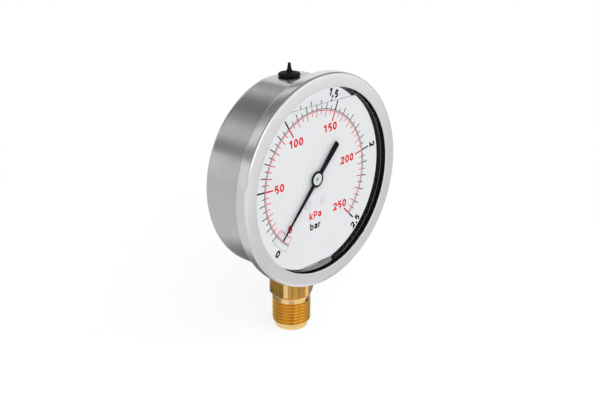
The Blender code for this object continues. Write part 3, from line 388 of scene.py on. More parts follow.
def ribbon(path, half, front, back):
    """A flat strip of even width along (x, z) points, closed where the path ends at its start."""
    shape = bmesh.new()
    points = [Vector(point) for point in path]
    closed = (points[0] - points[-1]).length < WELD
    if closed:
        points.pop()
    rings = []
    for index, point in enumerate(points):
        following = points[(index + 1) % len(points)]
        before = (point - points[index - 1]).normalized() if closed or index else None
        after = (following - point).normalized() if closed or index < len(points) - 1 else before
        before = before or after
        along = (before + after).normalized()
        out = Vector((-along.y, along.x)) * half / max(SHORTEST_MITRE, along.dot(before))
        left, right = point + out, point - out
        around = ((left, front), (right, front), (right, back), (left, back))
        rings.append([shape.verts.new((corner.x, across, corner.y)) for corner, across in around])
    for ring, following in zip(rings, rings[1:] + (rings[:1] if closed else [])):
        for corner in range(4):
            after = (corner + 1) % 4
            shape.faces.new((ring[corner], ring[after], following[after], following[corner]))
    if not closed:
        shape.faces.new(rings[0][::-1])
        shape.faces.new(rings[-1])
    return shape


def oval(x, z, wide, tall, start, end, steps=24):
    """Points on an oval, from one angle to another in degrees, anticlockwise from the right."""
    turns = [radians(start + (end - start) * step / steps) for step in range(steps + 1)]
    return [(x + wide * cos(turn), z + tall * sin(turn)) for turn in turns]


def shape_mesh(shape, name="part"):
    """A plain mesh of a bmesh, which is freed."""
    mesh = bpy.data.meshes.new(name)
    shape.to_mesh(mesh)
    shape.free()
    return mesh


def loose_object(context, name, shape):
    """An object of a bmesh, with its faces pointing outwards."""
    bmesh.ops.remove_doubles(shape, verts=shape.verts[:], dist=WELD)
    bmesh.ops.recalc_face_normals(shape, faces=shape.faces[:])
    item = bpy.data.objects.new(name, shape_mesh(shape, name))
    context.scene.collection.objects.link(item)
    return item


def settle_mesh(context, item):
    """Turn an object's modifiers into a plain mesh."""
    context.view_layer.update()
    evaluated = item.evaluated_get(context.evaluated_depsgraph_get())
    mesh = bpy.data.meshes.new_from_object(evaluated)
    item.modifiers.clear()
    old = item.data
    item.data = mesh
    if old.users == 0:
        bpy.data.meshes.remove(old)
    mesh.name = item.name


def remove_object(item):
    """Remove an object, and its mesh with it."""
    mesh = item.data
    bpy.data.objects.remove(item)
    if mesh.users == 0:
        bpy.data.meshes.remove(mesh)


def taken_mesh(item):
    """A copy of an object's mesh, for which the object is given up."""
    mesh = item.data.copy()
    remove_object(item)
    return mesh


def add_mesh(shape, mesh):
    """Move a mesh into a bmesh."""
    shape.from_mesh(mesh)
    bpy.data.meshes.remove(mesh)


def carve(context, item, *shapes):
    """Cut shapes out of an object."""
    cutters = [loose_object(context, "cutter", shape) for shape in shapes]
    for cutter in cutters:
        modifier = item.modifiers.new("cut", "BOOLEAN")
        modifier.operation = "DIFFERENCE"
        modifier.solver = "EXACT"
        modifier.object = cutter
    settle_mesh(context, item)
    for cutter in cutters:
        remove_object(cutter)


def finish_piece(item, material, body, stands_for=()):
    """Give a piece its finish and shading, attach it to what carries it and hide the CAD nodes it stands for.
    """
    mesh = item.data
    mesh.materials.clear()
    mesh.materials.append(material)
    mesh.polygons.foreach_set("use_smooth", [True] * len(mesh.polygons))
    mesh.polygons.foreach_set("material_index", [0] * len(mesh.polygons))
    mesh.set_sharp_from_angle(angle=SHARP_ANGLE)
    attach(item, body)
    if stands_for:
        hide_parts(*stands_for)


def second_finish(item, material, chosen):
    """Give another finish to the faces that chosen picks."""
    item.data.materials.append(material)
    for face in item.data.polygons:
        if chosen(face):
            face.material_index = 1


def refinish(node_name, material):
    """Give a finish to a CAD node that keeps its shape."""
    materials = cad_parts[node_name].data.materials
    materials.clear()
    materials.append(material)


def pass_bounces(item):
    """Hide a piece from bounced light, which it would keep from the dial and the floor beside it."""
    item.visible_diffuse = False


def joined(context, name, meshes):
    """One object of several meshes."""
    shape = bmesh.new()
    for mesh in meshes:
        add_mesh(shape, mesh)
    return loose_object(context, name, shape)


# Shader groups and finishes


def toned(shade, factor, lift=0.0):
    """A colour made darker or brighter."""
    return [min(1.0, part * factor + lift) for part in shade]


def add_node(tree, kind, inputs=None, **settings):
    """A node with its settings, and with its inputs set to values or linked to other nodes' outputs."""
    node = tree.nodes.new(kind)
    for name, value in settings.items():
        setattr(node, name, value)
    for key, value in (inputs or {}).items():
        if isinstance(value, bpy.types.NodeSocket):
            tree.links.new(value, node.inputs[key])
        else:
            node.inputs[key].default_value = value
    return node


def node_output(tree, kind, inputs=None, **settings):
    """The first output of a new node."""
    return add_node(tree, kind, inputs, **settings).outputs[0]


def maths(tree, operation, first, second=0.0):
    """A function of one or two values."""
    return node_output(tree, "ShaderNodeMath", {0: first, 1: second}, operation=operation)


def plus(tree, first, second):
    """The sum of two values."""
    return maths(tree, "ADD", first, second)


def times(tree, first, second):
    """The product of two values."""
    return maths(tree, "MULTIPLY", first, second)


def spread(tree, value, low, high):
    """A value from 0 to 1, put between low and high."""
    return node_output(tree, "ShaderNodeMapRange", {"Value": value, "To Min": low, "To Max": high})


def smooth_step(tree, value, low, high):
    """A smooth change from 0 to 1, while a value goes from low to high."""
    return node_output(tree, "ShaderNodeMapRange", {"Value": value, "From Min": low, "From Max": high},
                       interpolation_type="SMOOTHSTEP")


def noise(tree, place, scale, detail, roughness=0.5):
    """Soft noise from 0 to 1."""
    return node_output(tree, "ShaderNodeTexNoise",
                       {"Vector": place, "Scale": scale, "Detail": detail, "Roughness": roughness})


def attribute(tree, name):
    """A value that the mesh carries under a name."""
    return add_node(tree, "ShaderNodeAttribute", attribute_name=name).outputs["Fac"]


def blended(tree, factor, first, second):
    """A colour between two colours."""
    ends = [end if isinstance(end, bpy.types.NodeSocket) else (*end, 1) for end in (first, second)]
    return add_node(tree, "ShaderNodeMix", {0: factor, 6: ends[0], 7: ends[1]}, data_type="RGBA").outputs[2]


def shader_group(name, values, result):
    """An empty shader group for a place and some values, with one result: its tree and its inputs."""
    tree = bpy.data.node_groups.new(name, "ShaderNodeTree")
    tree.interface.new_socket("Vector", in_out="INPUT", socket_type="NodeSocketVector")
    for label, value in values.items():
        socket = tree.interface.new_socket(label, in_out="INPUT", socket_type="NodeSocketFloat")
        socket.default_value = value
    tree.interface.new_socket(result, in_out="OUTPUT", socket_type="NodeSocketFloat")
    return tree, tree.nodes.new("NodeGroupInput").outputs


def close_group(tree, result):
    """Link a group's result to its output."""
    tree.links.new(result, tree.nodes.new("NodeGroupOutput").inputs[0])
    return tree


def turned_grain():
    """Fine marks that run round an axis along Y, as a lathe or a brush leaves them."""
    tree, given = shader_group("Turned Grain", {"Lines": 4000.0, "Drift": 60.0}, "Grain")
    parts = add_node(tree, "ShaderNodeSeparateXYZ", {0: given["Vector"]}).outputs
    squares = [maths(tree, "POWER", part, 2.0) for part in (parts[0], parts[2])]
    across = maths(tree, "SQRT", plus(tree, *squares))
    lines = node_output(tree, "ShaderNodeCombineXYZ", {0: times(tree, across, given["Lines"]),
                                                       1: times(tree, parts[1], given["Lines"])})
    slow = node_output(tree, "ShaderNodeVectorMath", {0: given["Vector"], "Scale": given["Drift"]},
                       operation="SCALE")
    place = node_output(tree, "ShaderNodeVectorMath", {0: lines, 1: slow}, operation="ADD")
    return close_group(tree, noise(tree, place, 1.0, 3.0, 0.6))


def smudges():
    """Soft handling marks: broad patches broken up by smaller ones."""
    tree, given = shader_group("Smudges", {"Size": 0.02}, "Mask")
    scale = maths(tree, "DIVIDE", 1.0, given["Size"])
    broad = noise(tree, given["Vector"], scale, 2.0)
    small = noise(tree, given["Vector"], times(tree, scale, 5.0), 4.0)
    mixed = plus(tree, times(tree, broad, 0.7), times(tree, small, 0.3))
    return close_group(tree, smooth_step(tree, mixed, 0.35, 0.65))


def edge_wear():
    """Wear and painted glint on the rounded corners of a piece, broken up so that it isn't even."""
    tree, given = shader_group("Edge Wear", {"Amount": 0.5}, "Mask")
    broken = plus(tree, noise(tree, given["Vector"], 900.0, 3.0), 0.3)
    worn = times(tree, attribute(tree, WEAR), broken)
    return close_group(tree, times(tree, worn, given["Amount"]))


def speckle():
    """Fine even texture of moulded rubber, enamel and ink."""
    tree, given = shader_group("Speckle", {"Size": 0.0003}, "Height")
    scale = maths(tree, "DIVIDE", 1.0, given["Size"])
    return close_group(tree, noise(tree, given["Vector"], scale, 2.0, 0.55))


GROUPS = {"Turned Grain": turned_grain, "Smudges": smudges, "Edge Wear": edge_wear, "Speckle": speckle}


def effect(tree, name, inputs):
    """Place a shared shader group, building it the first time."""
    group = bpy.data.node_groups.get(name) or GROUPS[name]()
    return node_output(tree, "ShaderNodeGroup", inputs, node_tree=group)


def new_finish(name):
    """An empty material, its tree and the Object coordinates."""
    material = bpy.data.materials.new(name)
    material.use_nodes = True
    tree = material.node_tree
    tree.nodes.clear()
    return material, tree, tree.nodes.new("ShaderNodeTexCoord").outputs["Object"]


def close_finish(material, shader):
    """Link a material's shader to its surface."""
    add_node(material.node_tree, "ShaderNodeOutputMaterial", {"Surface": shader})
    return material


def principled(tree, inputs):
    """A Principled BSDF."""
    return node_output(tree, "ShaderNodeBsdfPrincipled", inputs)


def bumped(tree, height, strength, distance):
    """A normal that follows a height."""
    return node_output(tree, "ShaderNodeBump",
                       {"Height": height, "Strength": strength, "Distance": distance})


def turned_metal(name, base, dull, lines=4000.0, rough=(0.24, 0.38), bump=0.08, anisotropy=0.0, wear=0.5,
                 smudge_size=0.02):
    """Metal turned or brushed round the dial axis: fine lines, smudges, and edges brightened as wear and
    painted glint.
    """
    material, tree, place = new_finish(name)
    about_axis = node_output(tree, "ShaderNodeMapping", {"Vector": place, "Location": AXIS_POINT},
                             vector_type="TEXTURE")
    grain = effect(tree, "Turned Grain", {"Vector": about_axis, "Lines": lines})
    marks = effect(tree, "Smudges", {"Vector": place, "Size": smudge_size})
    worn = effect(tree, "Edge Wear", {"Vector": place, "Amount": wear})
    smudged = blended(tree, times(tree, marks, 0.35), base, dull)
    lined = blended(tree, spread(tree, grain, 0.0, 0.3), smudged, dull)
    gloss = plus(tree, spread(tree, grain, *rough), times(tree, marks, 0.05))
    # Rounded edges get a brighter colour: wear, and painted glint on the edges
    inputs = {"Base Color": blended(tree, worn, lined, toned(base, 1.18)), "Roughness": gloss,
              "Metallic": 1.0, "Normal": bumped(tree, grain, bump, GRAIN_DEPTH)}
    if anisotropy:
        tangent = node_output(tree, "ShaderNodeTangent", direction_type="UV_MAP", uv_map=TURNED_UV)
        inputs.update({"Anisotropic": anisotropy, "Anisotropic Rotation": 0.25, "Tangent": tangent})
    return close_finish(material, principled(tree, inputs))


def coated(name, base, other, size, rough, bump, shine=IN_LIQUID, smudge_size=0.015):
    """A plain coat such as rubber, enamel or ink: speckled, slightly smudged and uneven in gloss."""
    material, tree, place = new_finish(name)
    grain = effect(tree, "Speckle", {"Vector": place, "Size": size})
    marks = effect(tree, "Smudges", {"Vector": place, "Size": smudge_size})
    shade = blended(tree, times(tree, marks, grain), base, other)
    return close_finish(material, principled(tree, {
        "Base Color": shade, "Roughness": spread(tree, marks, *rough), "Specular IOR Level": shine,
        "Normal": bumped(tree, grain, bump, size / 6)}))


def clear(name, tint, other, ior):
    """Clear glass or liquid with a faint uneven tint, which mirrors little and lets light past."""
    material, tree, place = new_finish(name)
    marks = effect(tree, "Smudges", {"Vector": place, "Size": 0.03})
    bright = principled(tree, {"Base Color": blended(tree, marks, tint, other), "Roughness": 0.0, "IOR": ior,
                               "Transmission Weight": 1.0})
    calm = node_output(tree, "ShaderNodeBsdfRefraction",
                       {"Color": (*tint, 1), "Roughness": 0.0, "IOR": ior})
    body = node_output(tree, "ShaderNodeMixShader", {0: CALM_SHARE, 1: bright, 2: calm})
    through = node_output(tree, "ShaderNodeBsdfTransparent")
    path = tree.nodes.new("ShaderNodeLightPath").outputs
    passing = maths(tree, "MAXIMUM", path["Is Shadow Ray"], path["Is Diffuse Ray"])
    return close_finish(material, node_output(tree, "ShaderNodeMixShader", {0: passing, 1: body, 2: through}))


def still_surface():
    """The top of the liquid: a faint pale veil of painted sheen over what lies behind it, which doesn't bend
    it.
    """
    material, tree, place = new_finish("still_surface")
    marks = effect(tree, "Smudges", {"Vector": place, "Size": 0.01})
    return close_finish(material, principled(tree, {
        "Base Color": (0.8, 0.82, 0.84, 1), "Alpha": spread(tree, marks, 0.03, 0.08)}))


def rubber_finish(head, name, shine):
    """Black rubber, which looks deeper in the liquid than in air."""
    shade = toned(head.rubber, WET_SHADE if shine == IN_LIQUID else 1.0)
    return bpy.data.materials.get(name) or coated(name, shade, toned(shade, 1.8, 0.002), size=0.00035,
                                                  rough=(0.5, 0.66), bump=0.25, shine=shine)


# Geometry Nodes


def new_tree(name, sockets):
    """An empty tree, its inputs' identifiers by name, and the outputs of its input node."""
    tree = bpy.data.node_groups.new(name, "GeometryNodeTree")
    tree.is_modifier = True
    tree.interface.new_socket("Geometry", in_out="INPUT", socket_type="NodeSocketGeometry")
    names = {}
    for label, kind in sockets.items():
        socket = tree.interface.new_socket(label, in_out="INPUT", socket_type="NodeSocket" + kind)
        names[label] = socket.identifier
    tree.interface.new_socket("Geometry", in_out="OUTPUT", socket_type="NodeSocketGeometry")
    return tree, names, tree.nodes.new("NodeGroupInput").outputs


def close_tree(tree, instances, material):
    """End a tree in Realize Instances and Set Material."""
    real = node_output(tree, "GeometryNodeRealizeInstances", {0: instances})
    painted = node_output(tree, "GeometryNodeSetMaterial", {"Geometry": real, "Material": material})
    tree.links.new(painted, tree.nodes.new("NodeGroupOutput").inputs[0])


def rotation_about_y(tree, turn):
    """A turn about Y, for a tree's instances."""
    euler = node_output(tree, "ShaderNodeCombineXYZ", {1: turn})
    return node_output(tree, "FunctionNodeEulerToRotation", {0: euler})


def marks_tree():
    """Copies of one mark of unit size at even shares of a scale, with some left out."""
    tree, names, given = new_tree("Dial Marks", {
        "Count": "Int", "First": "Float", "Step": "Float", "Zero": "Float", "Sweep": "Float", "Lag": "Float",
        "Leave Out Every": "Int", "Inner Radius": "Float", "Outer Radius": "Float", "Width": "Float",
        "Material": "Material"})
    index = node_output(tree, "GeometryNodeInputIndex")
    share = plus(tree, given["First"], times(tree, index, given["Step"]))
    even = plus(tree, given["Zero"], times(tree, given["Sweep"], share))
    bulge = times(tree, times(tree, share, 4.0), maths(tree, "SUBTRACT", 1.0, share))
    turn = maths(tree, "SUBTRACT", even, times(tree, given["Lag"], bulge))
    middle = times(tree, plus(tree, given["Inner Radius"], given["Outer Radius"]), 0.5)
    long = maths(tree, "SUBTRACT", given["Outer Radius"], given["Inner Radius"])
    place = node_output(tree, "ShaderNodeCombineXYZ", {0: times(tree, maths(tree, "SINE", turn), middle),
                                                       2: times(tree, maths(tree, "COSINE", turn), middle)})
    points = node_output(tree, "GeometryNodePoints", {"Count": given["Count"], "Position": place})
    left_over = maths(tree, "MODULO", plus(tree, index, 1.0), given["Leave Out Every"])
    copies = node_output(tree, "GeometryNodeInstanceOnPoints", {
        "Points": points, "Selection": maths(tree, "GREATER_THAN", left_over, 0.5),
        "Instance": given["Geometry"], "Rotation": rotation_about_y(tree, turn),
        "Scale": node_output(tree, "ShaderNodeCombineXYZ", {0: given["Width"], 1: 1.0, 2: long})})
    close_tree(tree, copies, given["Material"])
    return tree, names


def screws_tree():
    """Two copies of one screw, each with its slot turned its own way."""
    tree, names, given = new_tree("Dial Screws", {
        "First Place": "Vector", "Step": "Vector", "Slot Turn": "Float", "Material": "Material"})
    index = node_output(tree, "GeometryNodeInputIndex")
    row = node_output(tree, "GeometryNodeMeshLine",
                      {"Count": 2, "Start Location": given["First Place"], "Offset": given["Step"]})
    turn = times(tree, plus(tree, index, 1.0), given["Slot Turn"])
    copies = node_output(tree, "GeometryNodeInstanceOnPoints", {
        "Points": row, "Instance": given["Geometry"], "Rotation": rotation_about_y(tree, turn)})
    close_tree(tree, copies, given["Material"])
    return tree, names


def grown_mesh(context, shape, tree_and_names, values):
    """The plain mesh that a tree makes from a shape."""
    tree, names = tree_and_names
    item = loose_object(context, "growing", shape)
    modifier = item.modifiers.new("grow", "NODES")
    modifier.node_group = tree
    for label, value in values.items():
        modifier[names[label]] = value
    settle_mesh(context, item)
    return taken_mesh(item)


# Pieces


def smooth_limit(value, limit, soft):
    """The lower of a value and a limit, with the change between them softened."""
    part = max(0.0, min(1.0, 0.5 + 0.5 * (limit - value) / soft))
    return limit + (value - limit) * part - soft * part * (1 - part)


def press_flats(rings, outline, head, inner_from):
    """Press a turned case flat at the top and the bottom, behind its flange."""
    full = CASE_LOW.y + head.flats_full
    for number, ring in enumerate(rings):
        inset = head.sheet if number >= inner_from else 0.0
        along = outline[number][1]
        lead = max(0.0, min(1.0, (along - full + head.flats_lead) / head.flats_lead))
        lead = lead * lead * (3 - 2 * lead)
        for corner in ring:
            height = corner.co.z - AXIS_Z
            pressed = smooth_limit(height, head.top_flat - inset, head.flats_soft)
            pressed = -smooth_limit(-pressed, head.foot_flat - inset, head.flats_soft)
            corner.co.z += (pressed - height) * lead


class GAUGE_OT_case(bpy.types.Operator):
    """Make the deep-drawn steel case, with its pressed flats and its two holes."""

    bl_idname = "gauge.make_case"
    bl_label = "Case"

    def execute(self, context):
        head = context.scene.gauge_head
        front, back = CASE_LOW.y, CASE_HIGH.y
        flange, longest = front + head.sheet, 0.0012
        outer = [(0, back, 0), (head.barrel, back, head.back_edge), (head.barrel, flange, head.flare),
                 (FLANGE_RADIUS, flange, 0), (FLANGE_RADIUS, front, 0)]
        inner_r, inner_back = head.barrel - head.sheet, back - head.sheet
        inner = [(inner_r, front, head.flare + head.sheet),
                 (inner_r, inner_back, head.back_edge - head.sheet), (0, inner_back, 0)]
        outline = divided(rounded(outer + inner), longest)
        inner_from = next(number for number, point in enumerate(outline)
                          if number and point[1] == front and point[0] == FLANGE_RADIUS)
        skin, rings = spun(outline, HEAD_SEGMENTS, "Y", AXIS_POINT)
        press_flats(rings, outline, head, inner_from)
        case = loose_object(context, "case_shell", skin)
        pass_bounces(case)
        holes = []
        for radius, at_y, flat in ((head.plug_hole, PLUG_Y, head.top_flat),
                                   (head.foot_hole, 0, -head.foot_flat)):
            low, high = AXIS_Z + flat - CUT_PAST, AXIS_Z + flat + CUT_PAST
            drill = [(0, low, 0), (radius, low, 0), (radius, high, 0), (0, high, 0)]
            holes.append(spun(drill, SMALL_SEGMENTS, "Z", (0, at_y, 0))[0])
        carve(context, case, *holes)
        steel = turned_metal("drawn_steel", head.steel, toned(head.steel, 0.72), lines=2600.0,
                             rough=(0.17, 0.27), anisotropy=0.65, smudge_size=0.035)
        finish_piece(case, steel, "gauge_body", ["case"])
        pickled = coated("pickled_steel", (0.38, 0.38, 0.385), (0.30, 0.30, 0.305), size=0.0012,
                         rough=(0.5, 0.65), bump=0.06)

        def faces_in(face):
            out = face.center - AXIS_POINT
            return face.normal.dot((out.x, 0, out.z)) < 0

        second_finish(case, pickled, faces_in)
        return {"FINISHED"}


class GAUGE_OT_ring(bpy.types.Operator):
    """Make the steel ring that is rolled over the window and the case's flange."""

    bl_idname = "gauge.make_ring"
    bl_label = "Ring"

    def execute(self, context):
        head = context.scene.gauge_head
        front, back = RING_LOW.y, RING_HIGH.y
        inner_r = RING_RADIUS - head.sheet
        fold = head.sheet / 4
        corners = [(head.opening, front, head.ring_lip), (RING_RADIUS, front, head.ring_edge),
                   (RING_RADIUS, back, head.crimp), (head.crimp_inner, back, fold),
                   (head.crimp_inner, back - head.sheet, fold), (inner_r, back - head.sheet, fold),
                   (inner_r, front + head.sheet, head.ring_edge - head.sheet),
                   (head.opening, front + head.sheet, fold)]
        skin, _ = spun(rounded(corners, SOFT_STEPS), HEAD_SEGMENTS, "Y", AXIS_POINT)
        ring = loose_object(context, "rolled_ring", skin)
        pass_bounces(ring)
        steel = turned_metal("ring_satin", head.ring_steel, toned(head.ring_steel, 0.86), lines=3600.0,
                             rough=(0.11, 0.18), bump=0.05, anisotropy=0.4, wear=0.15, smudge_size=0.03)
        finish_piece(ring, steel, "gauge_body", ["bezel_ring"])
        return {"FINISHED"}


class GAUGE_OT_gasket(bpy.types.Operator):
    """Make the rubber gasket: a flange under the window and a skirt with a gap at the bottom."""

    bl_idname = "gauge.make_gasket"
    bl_label = "Gasket"

    def execute(self, context):
        head = context.scene.gauge_head
        front, end = GASKET_LOW.y, GASKET_HIGH.y
        back = front + head.gasket_flange
        edge = head.gasket_edge
        corners = [(head.bore, front, edge), (GASKET_RADIUS, front, edge), (GASKET_RADIUS, back, edge),
                   (head.skirt, back, edge), (head.skirt, end, edge), (head.bore, end, edge)]
        bead, seam = head.gasket_bead, back + head.gasket_bead * 2
        corners += [(head.bore, seam + bead, 0), (head.bore - bead, seam, 0), (head.bore, seam - bead, 0)]
        skin, _ = spun(rounded(corners), HEAD_SEGMENTS, "Y", AXIS_POINT)
        gasket = loose_object(context, "rubber_gasket", skin)
        gap = block((-head.skirt_gap, back, AXIS_Z - head.skirt - CUT_PAST),
                    (head.skirt_gap, end + CUT_PAST, AXIS_Z - head.bore / 2))
        carve(context, gasket, gap)
        pass_bounces(gasket)
        finish_piece(gasket, rubber_finish(head, "wet_rubber", IN_LIQUID), "gauge_body",
                     ["window_gasket"])
        # The bead inside the skirt gets a pale grey finish: a painted highlight line along the black gasket
        pale = coated("rubber_seam", (0.22, 0.22, 0.225), (0.15, 0.15, 0.155), size=0.0006,
                      rough=(0.35, 0.5), bump=0.1)

        def on_bead(face):
            out = face.center - AXIS_POINT
            return hypot(out.x, out.z) < head.bore - bead / 3

        second_finish(gasket, pale, on_bead)
        return {"FINISHED"}


class GAUGE_OT_window(bpy.types.Operator):
    """Finish the glass window and make the liquid behind it, up to its level."""

    bl_idname = "gauge.make_window"
    bl_label = "Window and Liquid"

    def execute(self, context):
        head = context.scene.gauge_head
        refinish("window", clear("float_glass", (0.97, 0.985, 0.98), (0.955, 0.975, 0.97), ior=1.2))
        # How far the liquid reaches into what holds it, so that no gap is seen between them
        wet = 0.00005
        front, step = WINDOW_HIGH.y - wet, GASKET_LOW.y + head.gasket_flange / 2
        back = CASE_HIGH.y - head.sheet + wet
        narrow, wide = head.bore + wet, head.barrel - head.sheet + wet
        flats = CASE_LOW.y + head.flats_full
        corners = [(0, front, 0), (narrow, front, 0), (narrow, step, 0), (wide, step, 0)]
        corners += [(wide, flats - head.flats_lead * (1 - number / FLAT_STEPS), 0)
                    for number in range(FLAT_STEPS + 1)]
        corners += [(wide, back - head.back_edge, 0), (wide - head.back_edge, back, 0), (0, back, 0)]
        skin, rings = spun(corners, HEAD_SEGMENTS, "Y", AXIS_POINT)
        press_flats(rings, corners, head, 0)
        for ring in rings:
            for corner in ring:
                corner.co.z -= wet
        level = AXIS_POINT + Vector((0, 0, head.level))
        everything = skin.verts[:] + skin.edges[:] + skin.faces[:]
        cut = bmesh.ops.bisect_plane(skin, geom=everything, plane_co=level, plane_no=(0, 0, 1),
                                     clear_outer=True)
        rim = [item for item in cut["geom_cut"] if isinstance(item, bmesh.types.BMEdge)]
        bmesh.ops.contextual_create(skin, geom=rim)
        liquid = loose_object(context, "liquid_fill", skin)
        glycerin = clear("glycerin", (0.985, 0.985, 0.975), (0.975, 0.98, 0.965), ior=1.473)
        finish_piece(liquid, glycerin, "gauge_body")
        # The liquid's top face gets a faint pale veil: painted sheen of its surface
        second_finish(liquid, still_surface(), lambda face: face.center.z > level.z - wet)
        # A thin dull grey strip along the liquid's level, just behind the window: painted shade for the dark
        # meniscus line
        half = (head.bore ** 2 - head.level ** 2) ** 0.5
        shape = block((-half, WINDOW_HIGH.y, level.z - head.line), (half, WINDOW_HIGH.y + head.line, level.z))
        edge = loose_object(context, "liquid_edge", shape)
        dim = coated("liquid_edge", (0.26, 0.27, 0.28), (0.34, 0.35, 0.36), size=0.001, rough=(0.2, 0.3),
                     bump=0.05)
        finish_piece(edge, dim, "gauge_body")
        return {"FINISHED"}


# Centre lines of the dial's letters, in heights of a capital, and how far each moves the next one on
LETTERS = {
    "0": (0.79, [oval(0.33, 0.5, 0.225, 0.40, 0, 360)]),
    "1": (0.70, [[(0.36, 0), (0.36, 1)], [(0.06, 0.71), (0.29, 0.89)]]),
    "2": (0.79, [oval(0.33, 0.67, 0.22, 0.23, 175, -35) + [(0.13, 0.10), (0.59, 0.10)]]),
    "5": (0.79, [[(0.58, 0.92), (0.18, 0.92), (0.14, 0.53)] + oval(0.32, 0.33, 0.235, 0.25, 108, -106)]),
    ",": (0.36, [[(0.13, 0.20), (0.13, 0.04), (0.06, -0.16)]]),
    "k": (0.70, [[(0.10, 0), (0.10, 1)], [(0.52, 0.72), (0.21, 0.36), (0.54, 0)]]),
    "P": (0.76, [[(0.10, 0), (0.10, 0.90)] + oval(0.38, 0.655, 0.2, 0.245, 90, -90) + [(0.19, 0.41)]]),
    "a": (0.70, [oval(0.29, 0.47, 0.20, 0.16, 165, 0) + [(0.49, 0)],
                 [(0.40, 0.41)] + oval(0.25, 0.235, 0.15, 0.145, 90, 270) + [(0.40, 0.14)]]),
    "b": (0.74, [[(0.10, 0), (0.10, 1)], oval(0.33, 0.36, 0.19, 0.27, 150, -150)]),
    "r": (0.5, [[(0.10, 0), (0.10, 0.72)], oval(0.39, 0.40, 0.20, 0.235, 165, 85)]),
}

# Half widths of the labels' strokes, in heights of a capital
BLACK_STROKE, RED_STROKE, KPA_STROKE, BAR_STROKE = 0.135, 0.12, 0.095, 0.10
# The black labels, how far each is set in from their circle, and how far back on the scale in degrees
BLACK_LABELS = (("0", 0.002, 1.2), ("0,5", 0, 0), ("1", 0, 0), ("1,5", 0, 0), ("2", 0, 0), ("2,5", 0, -1.2))
# The red labels, and where each stands from the dial axis
RED_LABELS = (("0", -0.0193, -0.0212), ("50", -0.0257, 0.0024), ("100", -0.0133, 0.0225),
              ("150", 0.0113, 0.0244), ("200", 0.0236, 0.0042), ("250", 0.0176, -0.0197))
KPA_PLACE, BAR_PLACE = (-0.0008, -0.0192), (-0.0011, -0.0251)
# Height of the black unit against that of the red one
BAR_HEIGHT = 0.95


def lettering(words, height, wide, weight, thick):
    """A flat mesh of words of that height, centred, facing -Y."""
    shape = bmesh.new()
    start = 0.0
    for letter in words:
        advance, strokes = LETTERS[letter]
        for stroke in strokes:
            placed = [((start + x) * height * wide, z * height) for x, z in stroke]
            add_mesh(shape, shape_mesh(ribbon(placed, weight * height, -thick, 0)))
        start += advance
    reach = [corner.co.x for corner in shape.verts]
    middle = ((min(reach) + max(reach)) / 2, 0, height / 2)
    bmesh.ops.translate(shape, verts=shape.verts[:], vec=-Vector(middle))
    return shape_mesh(shape)


def label_turn(turn):
    """How a label at that angle is turned so that it never stands on its head."""
    return turn if abs(turn) <= pi / 2 else turn - (pi if turn > 0 else -pi)


